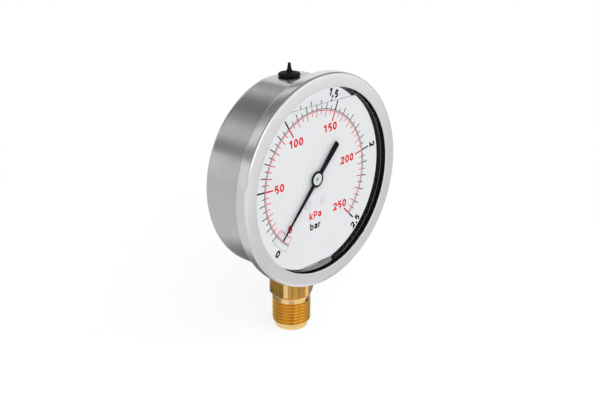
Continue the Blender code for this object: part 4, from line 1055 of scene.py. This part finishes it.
class GAUGE_OT_dial(bpy.types.Operator):
    """Finish the dial and print its two scales, their labels and their units."""

    bl_idname = "gauge.make_dial"
    bl_label = "Dial"

    def execute(self, context):
        dial = context.scene.gauge_dial
        ink = dial.ink
        tree = marks_tree()
        refinish("dial", coated("white_enamel", dial.enamel, toned(dial.enamel, 0.96), size=0.0008,
                                rough=(0.30, 0.42), bump=0.05, smudge_size=0.03))
        inks = {name: coated(name + "_ink", shade, toned(shade, 1.25, 0.01), size=0.0004, rough=(0.35, 0.5),
                             bump=0.04)
                for name, shade in (("black", dial.black), ("red", dial.red), ("grey", dial.grey))}
        start, end = dial.zero - dial.overrun, dial.zero + dial.sweep
        box = dial.overrun / dial.sweep * FULL_SCALE

        def marks(count, first, step, skip, radius, far, width):
            return grown_mesh(context, block((-0.5, -ink, -0.5), (0.5, 0, 0.5)), tree, {
                "Count": count, "First": first / FULL_SCALE, "Step": step / FULL_SCALE, "Zero": dial.zero,
                "Sweep": dial.sweep, "Lag": dial.lag, "Leave Out Every": skip,
                "Inner Radius": min(radius, far), "Outer Radius": max(radius, far), "Width": width,
                "Material": inks["black"]})

        def band(radius, first, last):
            path = oval(0, 0, radius, radius, 90 - degrees(first), 90 - degrees(last), ARC_STEPS)
            return shape_mesh(ribbon(path, dial.arc_width / 2, -ink, 0))

        def arc_with_marks(radius, side, reaches, widths):
            # Count, first value, step and which are left out, for the fine marks, the tenths and the halves
            rows = ((24, 0.15, 0.1, KEEP_ALL), (24, 0.1, 0.1, 5), (5, 0.5, 0.5, KEEP_ALL))
            return [band(radius, start, end)] + [
                marks(*row, radius, radius + side * reach, width)
                for row, reach, width in zip(rows, reaches, widths)]

        def zero_box(radius, side):
            far = radius + side * dial.box_depth
            return [marks(2, -box, 2 * box, KEEP_ALL, radius, far, dial.box_line),
                    band(far, start, dial.zero + dial.overrun)]

        def label(words, place, turn, height, stroke):
            mesh = lettering(words, height, dial.wide, stroke, ink)
            mesh.transform(Matrix.Translation((place[0], 0, place[1])) @ Matrix.Rotation(turn, 4, "Y"))
            return mesh

        black = arc_with_marks(dial.outer_arc, 1, dial.outer_marks, dial.outer_lines)
        red = arc_with_marks(dial.inner_arc, -1, dial.inner_marks, dial.inner_lines)
        red += zero_box(dial.inner_arc, -1)
        grey = zero_box(dial.outer_arc, 1)
        for step, (words, inset, back) in enumerate(BLACK_LABELS):
            share = step * 0.5 / FULL_SCALE
            turn = dial.zero + dial.sweep * share - 4 * dial.lag * share * (1 - share) - radians(back)
            reach = dial.outer_labels - inset
            black.append(label(words, (reach * sin(turn), reach * cos(turn)), label_turn(turn),
                               dial.outer_height, BLACK_STROKE))
        for mesh in black + red + grey:
            mesh.transform(Matrix.Translation((dial.print_shift[0], 0, dial.print_shift[1])))
        red += [label(words, (x, z), 0, dial.inner_height, RED_STROKE) for words, x, z in RED_LABELS]
        red.append(label("kPa", KPA_PLACE, 0, dial.unit_height, KPA_STROKE))
        black.append(label("bar", BAR_PLACE, 0, dial.unit_height * BAR_HEIGHT, BAR_STROKE))

        onto_dial = (Matrix.Translation((0, DIAL_LOW.y - WELD * 2, AXIS_Z))
                     @ Matrix.Rotation(dial.turn, 4, "Y"))
        for name, meshes in (("black", black), ("red", red), ("grey", grey)):
            print_piece = joined(context, name + "_print", meshes)
            print_piece.data.transform(onto_dial)
            finish_piece(print_piece, inks[name], "gauge_body")
        return {"FINISHED"}


class GAUGE_OT_dial_screws(bpy.types.Operator):
    """Make the two slotted screws that hold the dial."""

    bl_idname = "gauge.make_dial_screws"
    bl_label = "Dial Screws"

    def execute(self, context):
        dial = context.scene.gauge_dial
        radius = (SCREW_LEFT_HIGH.x - SCREW_LEFT_LOW.x) / 2
        deep = SCREW_LEFT_HIGH.y - SCREW_LEFT_LOW.y
        edge = dial.screw_head / 3
        shank = radius * 0.4
        corners = [(0, 0, 0), (radius, 0, edge), (radius, dial.screw_head, edge / 2),
                   (shank, dial.screw_head, 0), (shank, deep, 0), (0, deep, 0)]
        skin, _ = spun(rounded(corners, FINE_STEPS), SCREW_SEGMENTS, "Y", (0, 0, 0))
        screw = loose_object(context, "screw", skin)
        half = dial.screw_slot / 2
        carve(context, screw, block((-half, -CUT_PAST, -radius * 2), (half, dial.screw_head / 2, radius * 2)))
        white = coated("white_lacquer", toned(dial.enamel, 0.98), toned(dial.enamel, 0.9), size=0.0008,
                       rough=(0.35, 0.5), bump=0.05)
        shape = bmesh.new()
        add_mesh(shape, taken_mesh(screw))
        first = Vector(((SCREW_LEFT_LOW.x + SCREW_LEFT_HIGH.x) / 2, SCREW_LEFT_LOW.y,
                        (SCREW_LEFT_LOW.z + SCREW_LEFT_HIGH.z) / 2))
        last_x = (SCREW_RIGHT_LOW.x + SCREW_RIGHT_HIGH.x) / 2
        mesh = grown_mesh(context, shape, screws_tree(),
                          {"First Place": first, "Step": (last_x - first.x, 0, 0),
                           "Slot Turn": dial.slot_turn, "Material": white})
        screws = joined(context, "dial_screws", [mesh])
        finish_piece(screws, white, "gauge_body", ["dial_screw_left", "dial_screw_right"])
        return {"FINISHED"}


class GAUGE_OT_pointer(bpy.types.Operator):
    """Make the black pointer and its bright hub."""

    bl_idname = "gauge.make_pointer"
    bl_label = "Pointer"

    def execute(self, context):
        dial = context.scene.gauge_dial
        root, tip, tail = dial.root_width / 2, dial.tip_width / 2, dial.tail_width / 2
        blunt, broad = 0.0006, dial.tail_end_width / 2
        join, tail_join = root / dial.disc, tail / dial.disc

        def disc_side(start):
            steps = 24
            turns = [start - (pi - join - tail_join) * step / steps for step in range(steps + 1)]
            return [(dial.disc * sin(turn), dial.disc * cos(turn)) for turn in turns]

        outline = [(tip, dial.tip - tip), (0, dial.tip), (-tip, dial.tip - tip)] + disc_side(-join)
        outline += [(-broad, -dial.tail + blunt), (-broad + blunt, -dial.tail), (broad - blunt, -dial.tail),
                    (broad, -dial.tail + blunt)] + disc_side(pi - tail_join)
        rest = dial.pointer_rest
        outline = [(x * cos(rest) + z * sin(rest), z * cos(rest) - x * sin(rest)) for x, z in outline]
        covered = 0.0006
        bore = dial.cap - covered
        hole = oval(0, 0, bore, bore, 0, 360, 32)[:-1]
        pointer = loose_object(context, "needle", plate(outline, [hole], POINTER_LOW.y, POINTER_HIGH.y))
        pointer.data.transform(Matrix.Translation(AXIS_POINT))
        bevel = pointer.modifiers.new("bevel", "BEVEL")
        bevel.width = 0.00008
        bevel.segments = 2
        bevel.limit_method = "ANGLE"
        bevel.angle_limit = radians(60)
        settle_mesh(context, pointer)
        enamel = coated("black_enamel", dial.black, toned(dial.black, 2, 0.006), size=0.0005,
                        rough=(0.30, 0.42), bump=0.05)
        finish_piece(pointer, enamel, "pointer_shaft", ["pointer"])

        front, back, seat = BUSH_LOW.y, BUSH_HIGH.y, POINTER_LOW.y - WELD
        dish, dish_floor = dial.cap * 0.32, front + 0.00012
        spigot, collar = dial.cap - 0.0008, dial.disc * 0.8
        collar_front = back - 0.0005
        bore, bore_end = 0.00095, front + 0.0004
        soft, edge = 0.00005, 0.0001
        corners = [(0, dish_floor, 0), (dish, dish_floor, soft), (dish, front, soft),
                   (dial.cap, front, edge * 2), (dial.cap, seat, edge), (spigot, seat, 0),
                   (spigot, collar_front, 0), (collar, collar_front, edge), (collar, back, edge),
                   (bore, back, 0), (bore, bore_end, 0), (0, bore_end, 0)]
        skin, _ = spun(rounded(corners, FINE_STEPS), SMALL_SEGMENTS, "Y", AXIS_POINT)
        hub = loose_object(context, "pointer_hub", skin)
        steel = turned_metal("hub_steel", (0.98, 0.98, 0.99), (0.9, 0.9, 0.91), lines=9000.0,
                             rough=(0.2, 0.3))
        finish_piece(hub, steel, "pointer_shaft", ["pointer_bush"])
        return {"FINISHED"}


class GAUGE_OT_plug(bpy.types.Operator):
    """Make the rubber fill plug: a bulb in the case, a rounded collar and a vent nipple."""

    bl_idname = "gauge.make_plug"
    bl_label = "Plug"

    def execute(self, context):
        sizes = context.scene.gauge_connection
        head = context.scene.gauge_head
        low, high = PLUG_LOW.z, PLUG_HIGH.z
        collar = (PLUG_HIGH.x - PLUG_LOW.x) / 2
        under = low + sizes.bulb
        clear_of_case = 0.0002
        seat = AXIS_Z + head.top_flat + clear_of_case
        top = seat + sizes.collar_height
        widest = seat + sizes.collar_height / 3
        neck, nipple = sizes.neck_plug, sizes.nipple
        bulb, shoulder, nipple_root = neck * 1.33, collar * 0.9, nipple * 1.7
        corners = [(0, low, 0), (neck, low, 0.0006), (bulb, low + sizes.bulb / 2, 0.0008),
                   (bulb, under, 0.0003), (neck, under, 0), (neck, seat, 0),
                   (sizes.collar_base, seat, 0.0004), (collar, widest, 0.0007),
                   (shoulder, top - 0.0002, 0.0013), (nipple_root, top + 0.0004, 0.0008),
                   (nipple, top + sizes.collar_height, 0.002), (nipple * 0.68, high, nipple * 0.6),
                   (0, high, 0)]
        skin, _ = spun(rounded(corners, SOFT_STEPS), SMALL_SEGMENTS, "Z", (0, PLUG_Y, 0))
        plug = loose_object(context, "rubber_plug", skin)
        finish_piece(plug, rubber_finish(head, "plug_rubber", IN_AIR), "gauge_body",
                     ["fill_plug"])
        return {"FINISHED"}


def hexagon_reach(sizes, turn):
    """How far the hexagon's flats lie from its axis, at an angle round it."""
    return sizes.hex_flat / cos((turn + pi / 6) % (pi / 3) - pi / 6)


def mark_brass(mesh, sizes):
    """Mark the drawn flats, the depth in the thread and the thread's run-out, which carry painted shade."""
    drawn, cut, ends = [], [], []
    near, deep, below_hexagon = WELD * 10, WELD * 50, 0.001
    for corner in mesh.vertices:
        x, y, z = corner.co
        out = hypot(x, y)
        on_hexagon = sizes.hex_start < z < sizes.hex_end and out < sizes.hex_corner - near
        drawn.append(1.0 if on_hexagon and abs(out - hexagon_reach(sizes, atan2(y, x))) < near else 0.0)
        # Faces inside the thread's run-out notch, which get painted shade
        on_band = sizes.thread_end < z < sizes.hex_start - below_hexagon
        ends.append(1.0 if on_band and sizes.inlet * 2 < out < sizes.band - deep else 0.0)
        # How deep a point lies in the thread, from half at the crest to full at the root: painted shade in
        # the grooves
        in_thread = sizes.stub_end < z < sizes.thread_end and out > sizes.stub + near
        cut.append(min(1.0, 0.5 + (sizes.crest - out) / sizes.depth * 2) if in_thread else 0.0)
    for name, values in ((DRAWN, drawn), (THREAD, cut), (RUN_OUT, ends)):
        mesh.attributes.new(name, "FLOAT", "POINT").data.foreach_set("value", values)


def brass_finish(sizes):
    """Turned brass, drawn flats and a cut thread, with painted shade on the flats, thread roots and run-out.
    """
    material, tree, place = new_finish("machined_brass")
    upright = node_output(tree, "ShaderNodeMapping", {"Vector": place, "Rotation": (pi / 2, 0, 0)},
                          vector_type="TEXTURE")
    stretched = node_output(tree, "ShaderNodeMapping", {"Vector": place, "Scale": (1, 1, 0.02)})
    grain = effect(tree, "Turned Grain", {"Vector": upright, "Lines": 5000.0})
    streaks = effect(tree, "Speckle", {"Vector": stretched, "Size": 0.0007})
    marks = effect(tree, "Smudges", {"Vector": place, "Size": 0.008})
    worn = effect(tree, "Edge Wear", {"Vector": place, "Amount": 0.4})
    drawn, cut, ends = [attribute(tree, name) for name in (DRAWN, THREAD, RUN_OUT)]
    streaked = node_output(tree, "ShaderNodeMapRange", {"Value": streaks, "From Min": 0.38, "From Max": 0.62})
    turned = blended(tree, times(tree, grain, 0.3), sizes.brass, sizes.thread_brass)
    # The thread darkens towards its roots: painted shade in the grooves
    threaded = blended(tree, cut, turned, sizes.thread_brass)
    # The flats are darker: their own drawn finish, and painted shade for the dark surroundings they mirror
    bar = blended(tree, streaked, sizes.drawn_brass, sizes.tarnish)
    clean = blended(tree, drawn, threaded, bar)
    dulled = blended(tree, times(tree, marks, 0.12), clean, sizes.tarnish)
    edged = blended(tree, worn, dulled, sizes.brass)
    gloss = plus(tree, spread(tree, grain, 0.2, 0.3), times(tree, drawn, 0.12))
    height = blended(tree, drawn, grain, streaks)
    return close_finish(material, principled(tree, {
        # The run-out notch is painted near-black: painted shade
        "Base Color": blended(tree, ends, edged, sizes.groove), "Roughness": gloss, "Metallic": 1.0,
        "Normal": bumped(tree, height, 0.12, GRAIN_DEPTH)}))


def turned_connection(sizes):
    """The connection as it is turned, with its thread, its hexagon and its square shank."""
    inlet, stub, crest, band = sizes.inlet, sizes.stub, sizes.crest, sizes.band
    edge, step_up = 0.0004, WELD * 4
    # Shares of half a pitch that are the thread's crest and its flank
    crest_share, flank_share = 0.1, 0.8

    def reach(radius, along, turn):
        if sizes.stub_end < along < sizes.thread_end and radius > stub:
            ramp = abs(((along / sizes.pitch - turn / (2 * pi)) % 1.0) * 2 - 1)
            flank = max(0.0, min(1.0, (ramp - crest_share) / flank_share))
            return min(radius, crest - sizes.depth * flank)
        if sizes.hex_start <= along <= sizes.hex_end:
            return min(radius, hexagon_reach(sizes, turn))
        if along > sizes.boss_end:
            return sizes.shank / max(abs(cos(turn)), abs(sin(turn))) if radius > POLE else radius
        return radius

    # Inlet and stub
    outline = [(0, sizes.hex_end, 0), (inlet, sizes.hex_end, 0), (inlet, edge, 0), (inlet + edge, 0, 0)]
    around_edge = 0.002
    outline += rounded([(stub - around_edge, 0, 0), (stub, 0, edge), (stub, around_edge, 0)])
    outline += [(stub, sizes.stub_end - edge, 0), (stub, sizes.stub_end, 0)]

    # Thread, which rises over its first turn and sinks into the band above it
    thread = sizes.thread_end - sizes.stub_end
    first_rise, last_fall, thread_wear, rows_a_pitch = 0.0001, 0.8, 0.3, 16
    rows = int(thread / sizes.pitch * rows_a_pitch)
    for row in range(1, rows):
        along = sizes.stub_end + thread * row / rows
        lead = stub + first_rise + (along - sizes.stub_end) * (crest - stub) / sizes.thread_edge
        lead_out = band + max(0.0, (sizes.thread_end - along)) * last_fall
        outline.append((min(crest, lead, lead_out), along, thread_wear))

    # Band, neck and hexagon
    neck_z, band_edge = sizes.hex_start - 0.0007, 0.0002
    outline += rounded([(band, sizes.thread_end, 0), (band, neck_z, band_edge),
                        (sizes.neck, neck_z + edge, 0)])
    outline += [(sizes.neck, sizes.hex_start - step_up, 0)]
    slope, chamfer_steps, chamfer_wear = sizes.hex_corner - sizes.hex_face, 20, 0.2
    for step in range(chamfer_steps + 1):
        along = sizes.hex_start + sizes.hex_edge * step / chamfer_steps
        outline.append((sizes.hex_face + slope * step / chamfer_steps, along, chamfer_wear))
    outline += [(sizes.hex_corner, sizes.hex_end - edge, 0), (sizes.hex_corner - edge, sizes.hex_end, 0)]

    # Seat, boss and shank
    outline += [(sizes.seat, sizes.hex_end + step_up, 0), (sizes.seat, sizes.seat_end, 0),
                (sizes.boss, sizes.seat_end, 0), (sizes.boss, sizes.boss_end, 0),
                (sizes.shank, sizes.boss_end + step_up, 0), (sizes.shank, sizes.shank_end, 0),
                (0, sizes.shank_end, 0)]
    skin, _ = spun(outline, HEAD_SEGMENTS, "Z", (0, 0, 0), reach)
    return skin


class GAUGE_OT_connection(bpy.types.Operator):
    """Make the brass connection: stub, thread, band, hexagon, boss and the shank in the case."""

    bl_idname = "gauge.make_connection"
    bl_label = "Connection"

    def execute(self, context):
        sizes = context.scene.gauge_connection
        gap = 0.0002
        blank = loose_object(context, "connection_blank", turned_connection(sizes))

        slot_half = (TUBE_HIGH.y - TUBE_LOW.y) / 2 + gap
        slot_z = AXIS_Z - (TUBE_HIGH.z - AXIS_Z)
        slot_end, slot_under, slot_over = 0.0008, 0.0003, 0.0034
        tube_slot = block((-sizes.shank * 2, -slot_half, slot_z - slot_under),
                          (slot_end, slot_half, slot_z + slot_over))
        groove_half, groove_deep, groove_z = 0.0016, 0.0009, 0.00042
        run_out = block((-groove_half, -sizes.band - CUT_PAST, -groove_z),
                        (groove_half, -sizes.band + groove_deep, groove_z))
        slope = sizes.pitch / (2 * pi * sizes.band)
        bmesh.ops.transform(run_out, verts=run_out.verts[:], matrix=(
            Matrix.Translation((0, 0, sizes.run_out)) @ Matrix.Rotation(sizes.run_out_turn, 4, "Z")
            @ Matrix.Rotation(-slope, 4, "Y")))
        carve(context, blank, tube_slot, run_out)

        _, plate_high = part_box("back_plate")
        tongue_front, sunk = plate_high.y + gap, 0.001
        tongue = block((-sizes.tongue_half, tongue_front, sizes.shank_end - sunk),
                       (sizes.tongue_half, tongue_front + sizes.tongue_depth, SOCKET_HIGH.z))
        connection = joined(context, "brass_connection", [taken_mesh(blank), shape_mesh(tongue)])
        mark_brass(connection.data, sizes)
        pass_bounces(connection)
        finish_piece(connection, brass_finish(sizes), "gauge_body", ["socket"])
        return {"FINISHED"}


class GAUGE_OT_movement(bpy.types.Operator):
    """Finish the CAD nodes of the movement and the fittings in the case."""

    bl_idname = "gauge.finish_movement"
    bl_label = "Movement"

    def execute(self, context):
        finishes = {
            "movement_brass": ((0.72, 0.50, 0.20), (0.52, 0.34, 0.12)),
            "connection_brass": ((0.70, 0.46, 0.17), (0.50, 0.31, 0.10)),
            "tube_bronze": ((0.62, 0.36, 0.17), (0.44, 0.25, 0.11)),
            "spring_bronze": ((0.66, 0.42, 0.20), (0.46, 0.28, 0.12)),
            "bright_steel": ((0.64, 0.65, 0.66), (0.46, 0.47, 0.48)),
        }
        made = {}
        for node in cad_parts.values():
            if node.hide_render or not node.data.materials:
                continue
            slot = node.data.materials[0].name.split(".")[0]
            if slot in finishes and slot not in made:
                made[slot] = turned_metal("inner_" + slot, *finishes[slot])
            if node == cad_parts["socket_nut"]:
                node.data.materials[0] = coated("zinc_plate", (0.46, 0.46, 0.47), (0.34, 0.34, 0.36),
                                                size=0.004, rough=(0.45, 0.6), bump=0.1)
            elif slot in made:
                node.data.materials[0] = made[slot]
            elif slot == "black_rubber":
                node.data.materials[0] = rubber_finish(context.scene.gauge_head, "wet_rubber", IN_LIQUID)
        return {"FINISHED"}


# Stage

# Brightness of the floor round the connection, by degrees from the front, and of the room behind the
# gauge, by degrees from straight up, as metal mirrors them
FLOOR_BANDS = ((-180, 0.24), (-112, 0.24), (-90, 0.95), (-64, 0.95), (-55, 0.54), (-38, 0.54), (-24, 0.98),
               (34, 0.98), (50, 0.34), (72, 0.28), (92, 0.5), (110, 0.4), (180, 0.2))
ROOM_BANDS = ((-180, 0.9), (-72, 0.88), (-65, 0.30), (-57, 0.30), (-47, 0.80), (-36, 0.85), (-24, 0.46),
              (-12, 0.24), (2, 0.22), (10, 0.40), (17, 0.72), (25, 0.80), (30, 0.20), (35, 0.16),
              (41, 0.95), (180, 0.95))
# The same for the far floor: its brightness at the origin, how fast it falls along X and Y, and its limits
FAR_FLOOR, FAR_FALL, FAR_DIMMEST, FAR_BRIGHTEST = 0.577, (0.77, 2.13), 0.8, 1.0
UNDER_GAUGE = (0.9, 0.9, 0.9)
# Distances from the axis over which the floor's bands begin and end, and the seen floor fades to white
BANDS_BEGIN, BANDS_END, FLOOR_FADE = (0.014, 0.026), (0.05, 0.09), (0.10, 0.35)
# The mirrored room before the gauge and above it, and where it begins beside, above and behind the gauge,
# in shares of a direction along Y, Z and Y
ROOM_FRONT, ROOM_ABOVE = (0.74, 0.74, 0.74), (0.3, 0.3, 0.3)
BESIDE, ABOVE, BEHIND = (-0.6, -0.4), (0.25, 0.55), (0.25, 0.5)
WHITE = (1, 1, 1, 1)


def bands(tree, turn, stops):
    """Brightness that follows an angle, from stops of (degrees, brightness)."""
    share = plus(tree, 0.5, maths(tree, "DIVIDE", turn, 2 * pi))
    ramp = add_node(tree, "ShaderNodeValToRGB", {0: share})
    ramp.color_ramp.interpolation = "EASE"
    edges = ramp.color_ramp.elements
    while len(edges) < len(stops):
        edges.new(0.5)
    for edge, (at, bright) in zip(edges, stops):
        edge.position = 0.5 + at / 360
        edge.color = (bright, bright, bright, 1)
    return ramp.outputs[0]


def glow(tree, shade, strength=1.0):
    """Light of a colour, as a shader."""
    return node_output(tree, "ShaderNodeEmission", {"Color": shade, "Strength": strength})


def floor_finish(stage):
    """A pale floor that keeps the object's shadow and fades into the white background.

    Metal near the floor mirrors a floor with dim bands, as between the flags of a studio.
    """
    material, tree, place = new_finish("pale_floor")
    far = add_node(tree, "ShaderNodeVectorMath", {0: place}, operation="LENGTH").outputs["Value"]
    path = tree.nodes.new("ShaderNodeLightPath").outputs
    seen = path["Is Camera Ray"]
    grain = effect(tree, "Smudges", {"Vector": place, "Size": 0.2})
    matt = principled(tree, {"Base Color": blended(tree, grain, stage.floor, toned(stage.floor, 0.99)),
                             "Roughness": 1.0, "Specular IOR Level": 0.0})
    lift = glow(tree, WHITE, times(tree, seen, stage.floor_lift))
    lit = node_output(tree, "ShaderNodeAddShader", {0: matt, 1: lift})
    fade = times(tree, smooth_step(tree, far, *FLOOR_FADE), seen)
    plain = node_output(tree, "ShaderNodeMixShader", {0: fade, 1: lit, 2: glow(tree, WHITE)})

    parts = add_node(tree, "ShaderNodeSeparateXYZ", {0: place}).outputs
    turn = maths(tree, "ARCTAN2", parts[0], times(tree, parts[1], -1.0))
    clear_of_stub = smooth_step(tree, far, *BANDS_BEGIN)
    banded = blended(tree, clear_of_stub, UNDER_GAUGE, bands(tree, turn, FLOOR_BANDS))
    fall = plus(tree, times(tree, parts[0], FAR_FALL[0]), times(tree, parts[1], FAR_FALL[1]))
    level = maths(tree, "MAXIMUM", FAR_DIMMEST, maths(tree, "SUBTRACT", FAR_FLOOR, fall))
    away = smooth_step(tree, far, *BANDS_END)
    mirrored = blended(tree, away, banded, maths(tree, "MINIMUM", FAR_BRIGHTEST, level))
    return close_finish(material, node_output(tree, "ShaderNodeMixShader", {
        0: path["Is Glossy Ray"], 1: plain, 2: glow(tree, mirrored)}))


def room_light(stage):
    """The room: even light, white where it is seen, and what metal mirrors of it."""
    world = bpy.data.worlds.new("room")
    world.use_nodes = True
    tree = world.node_tree
    tree.nodes.clear()
    path = tree.nodes.new("ShaderNodeLightPath").outputs
    way = tree.nodes.new("ShaderNodeTexCoord").outputs["Generated"]
    parts = add_node(tree, "ShaderNodeSeparateXYZ", {0: way}).outputs
    banded = bands(tree, maths(tree, "ARCTAN2", parts[0], parts[2]), ROOM_BANDS)
    above = times(tree, smooth_step(tree, parts[1], *BESIDE), smooth_step(tree, parts[2], *ABOVE))
    before = blended(tree, above, ROOM_FRONT, ROOM_ABOVE)
    behind = smooth_step(tree, parts[1], *BEHIND)
    mirrored = times(tree, blended(tree, behind, before, banded), path["Is Glossy Ray"])
    seen = maths(tree, "MAXIMUM", path["Is Camera Ray"], path["Is Transmission Ray"])
    plain = times(tree, spread(tree, seen, stage.sky, 1.0),
                  maths(tree, "SUBTRACT", 1.0, path["Is Glossy Ray"]))
    strength = plus(tree, plain, mirrored)
    even = node_output(tree, "ShaderNodeBackground", {"Color": WHITE, "Strength": strength})
    tree.links.new(even, tree.nodes.new("ShaderNodeOutputWorld").inputs[0])
    return world


class GAUGE_OT_stage(bpy.types.Operator):
    """Make the floor, the room's light, the lamps and the camera."""

    bl_idname = "gauge.make_stage"
    bl_label = "Stage"

    def execute(self, context):
        scene = context.scene
        stage = scene.gauge_stage
        scene.view_settings.view_transform = "Standard"
        scene.world = room_light(stage)

        below = 0.0001
        shape = bmesh.new()
        bmesh.ops.create_circle(shape, cap_ends=True, segments=96, radius=stage.floor_radius,
                                matrix=Matrix.Translation((0, 0, -below)))
        floor = loose_object(context, "floor", shape)
        floor.data.materials.append(floor_finish(stage))

        for name, place, power in (("key_lamp", stage.key_at, stage.key),
                                   ("fill_lamp", stage.fill_at, stage.fill)):
            light = bpy.data.lights.new(name, "AREA")
            light.energy = power
            light.size = stage.lamp_size
            lamp = bpy.data.objects.new(name, light)
            lamp.location = place
            lamp.rotation_euler = (AXIS_POINT - Vector(place)).to_track_quat("-Z", "Y").to_euler()
            scene.collection.objects.link(lamp)

        lens = bpy.data.cameras.new("camera")
        lens.lens = stage.lens
        camera = bpy.data.objects.new("camera", lens)
        camera.location = stage.camera_at
        camera.rotation_euler = stage.camera_turn
        scene.collection.objects.link(camera)
        scene.camera = camera
        return {"FINISHED"}


PIECE_OPERATORS = (GAUGE_OT_case, GAUGE_OT_ring, GAUGE_OT_gasket, GAUGE_OT_window, GAUGE_OT_dial,
                   GAUGE_OT_dial_screws, GAUGE_OT_pointer, GAUGE_OT_plug, GAUGE_OT_connection,
                   GAUGE_OT_movement, GAUGE_OT_stage)


class GAUGE_PT_panel(bpy.types.Panel):
    """Lists the gauge's pieces and their settings."""

    bl_idname = "GAUGE_PT_panel"
    bl_label = "Pressure Gauge"
    bl_space_type = "VIEW_3D"
    bl_region_type = "UI"
    bl_category = "Gauge"

    def draw(self, context):
        for operator in PIECE_OPERATORS:
            self.layout.operator(operator.bl_idname)
        for name in SETTINGS:
            settings = getattr(context.scene, name)
            box = self.layout.box()
            for field in settings.bl_rna.properties:
                if not field.is_readonly and field.identifier != "name":
                    box.prop(settings, field.identifier)


SETTINGS = {"gauge_head": GaugeHeadSettings, "gauge_dial": GaugeDialSettings,
            "gauge_connection": GaugeConnectionSettings, "gauge_stage": GaugeStageSettings}


def register():
    """Register the classes and give the scene its settings."""
    for item in (*SETTINGS.values(), *PIECE_OPERATORS, GAUGE_PT_panel):
        bpy.utils.register_class(item)
    for name, group in SETTINGS.items():
        setattr(bpy.types.Scene, name, PointerProperty(type=group))


def unregister():
    """Take the settings and the classes away again."""
    for name in SETTINGS:
        delattr(bpy.types.Scene, name)
    for item in reversed((*SETTINGS.values(), *PIECE_OPERATORS, GAUGE_PT_panel)):
        bpy.utils.unregister_class(item)


def main():
    """Make every piece and the stage."""
    register()
    for operator in PIECE_OPERATORS:
        module, name = operator.bl_idname.split(".")
        getattr(getattr(bpy.ops, module), name)()


if __name__ == "__main__":
    main()
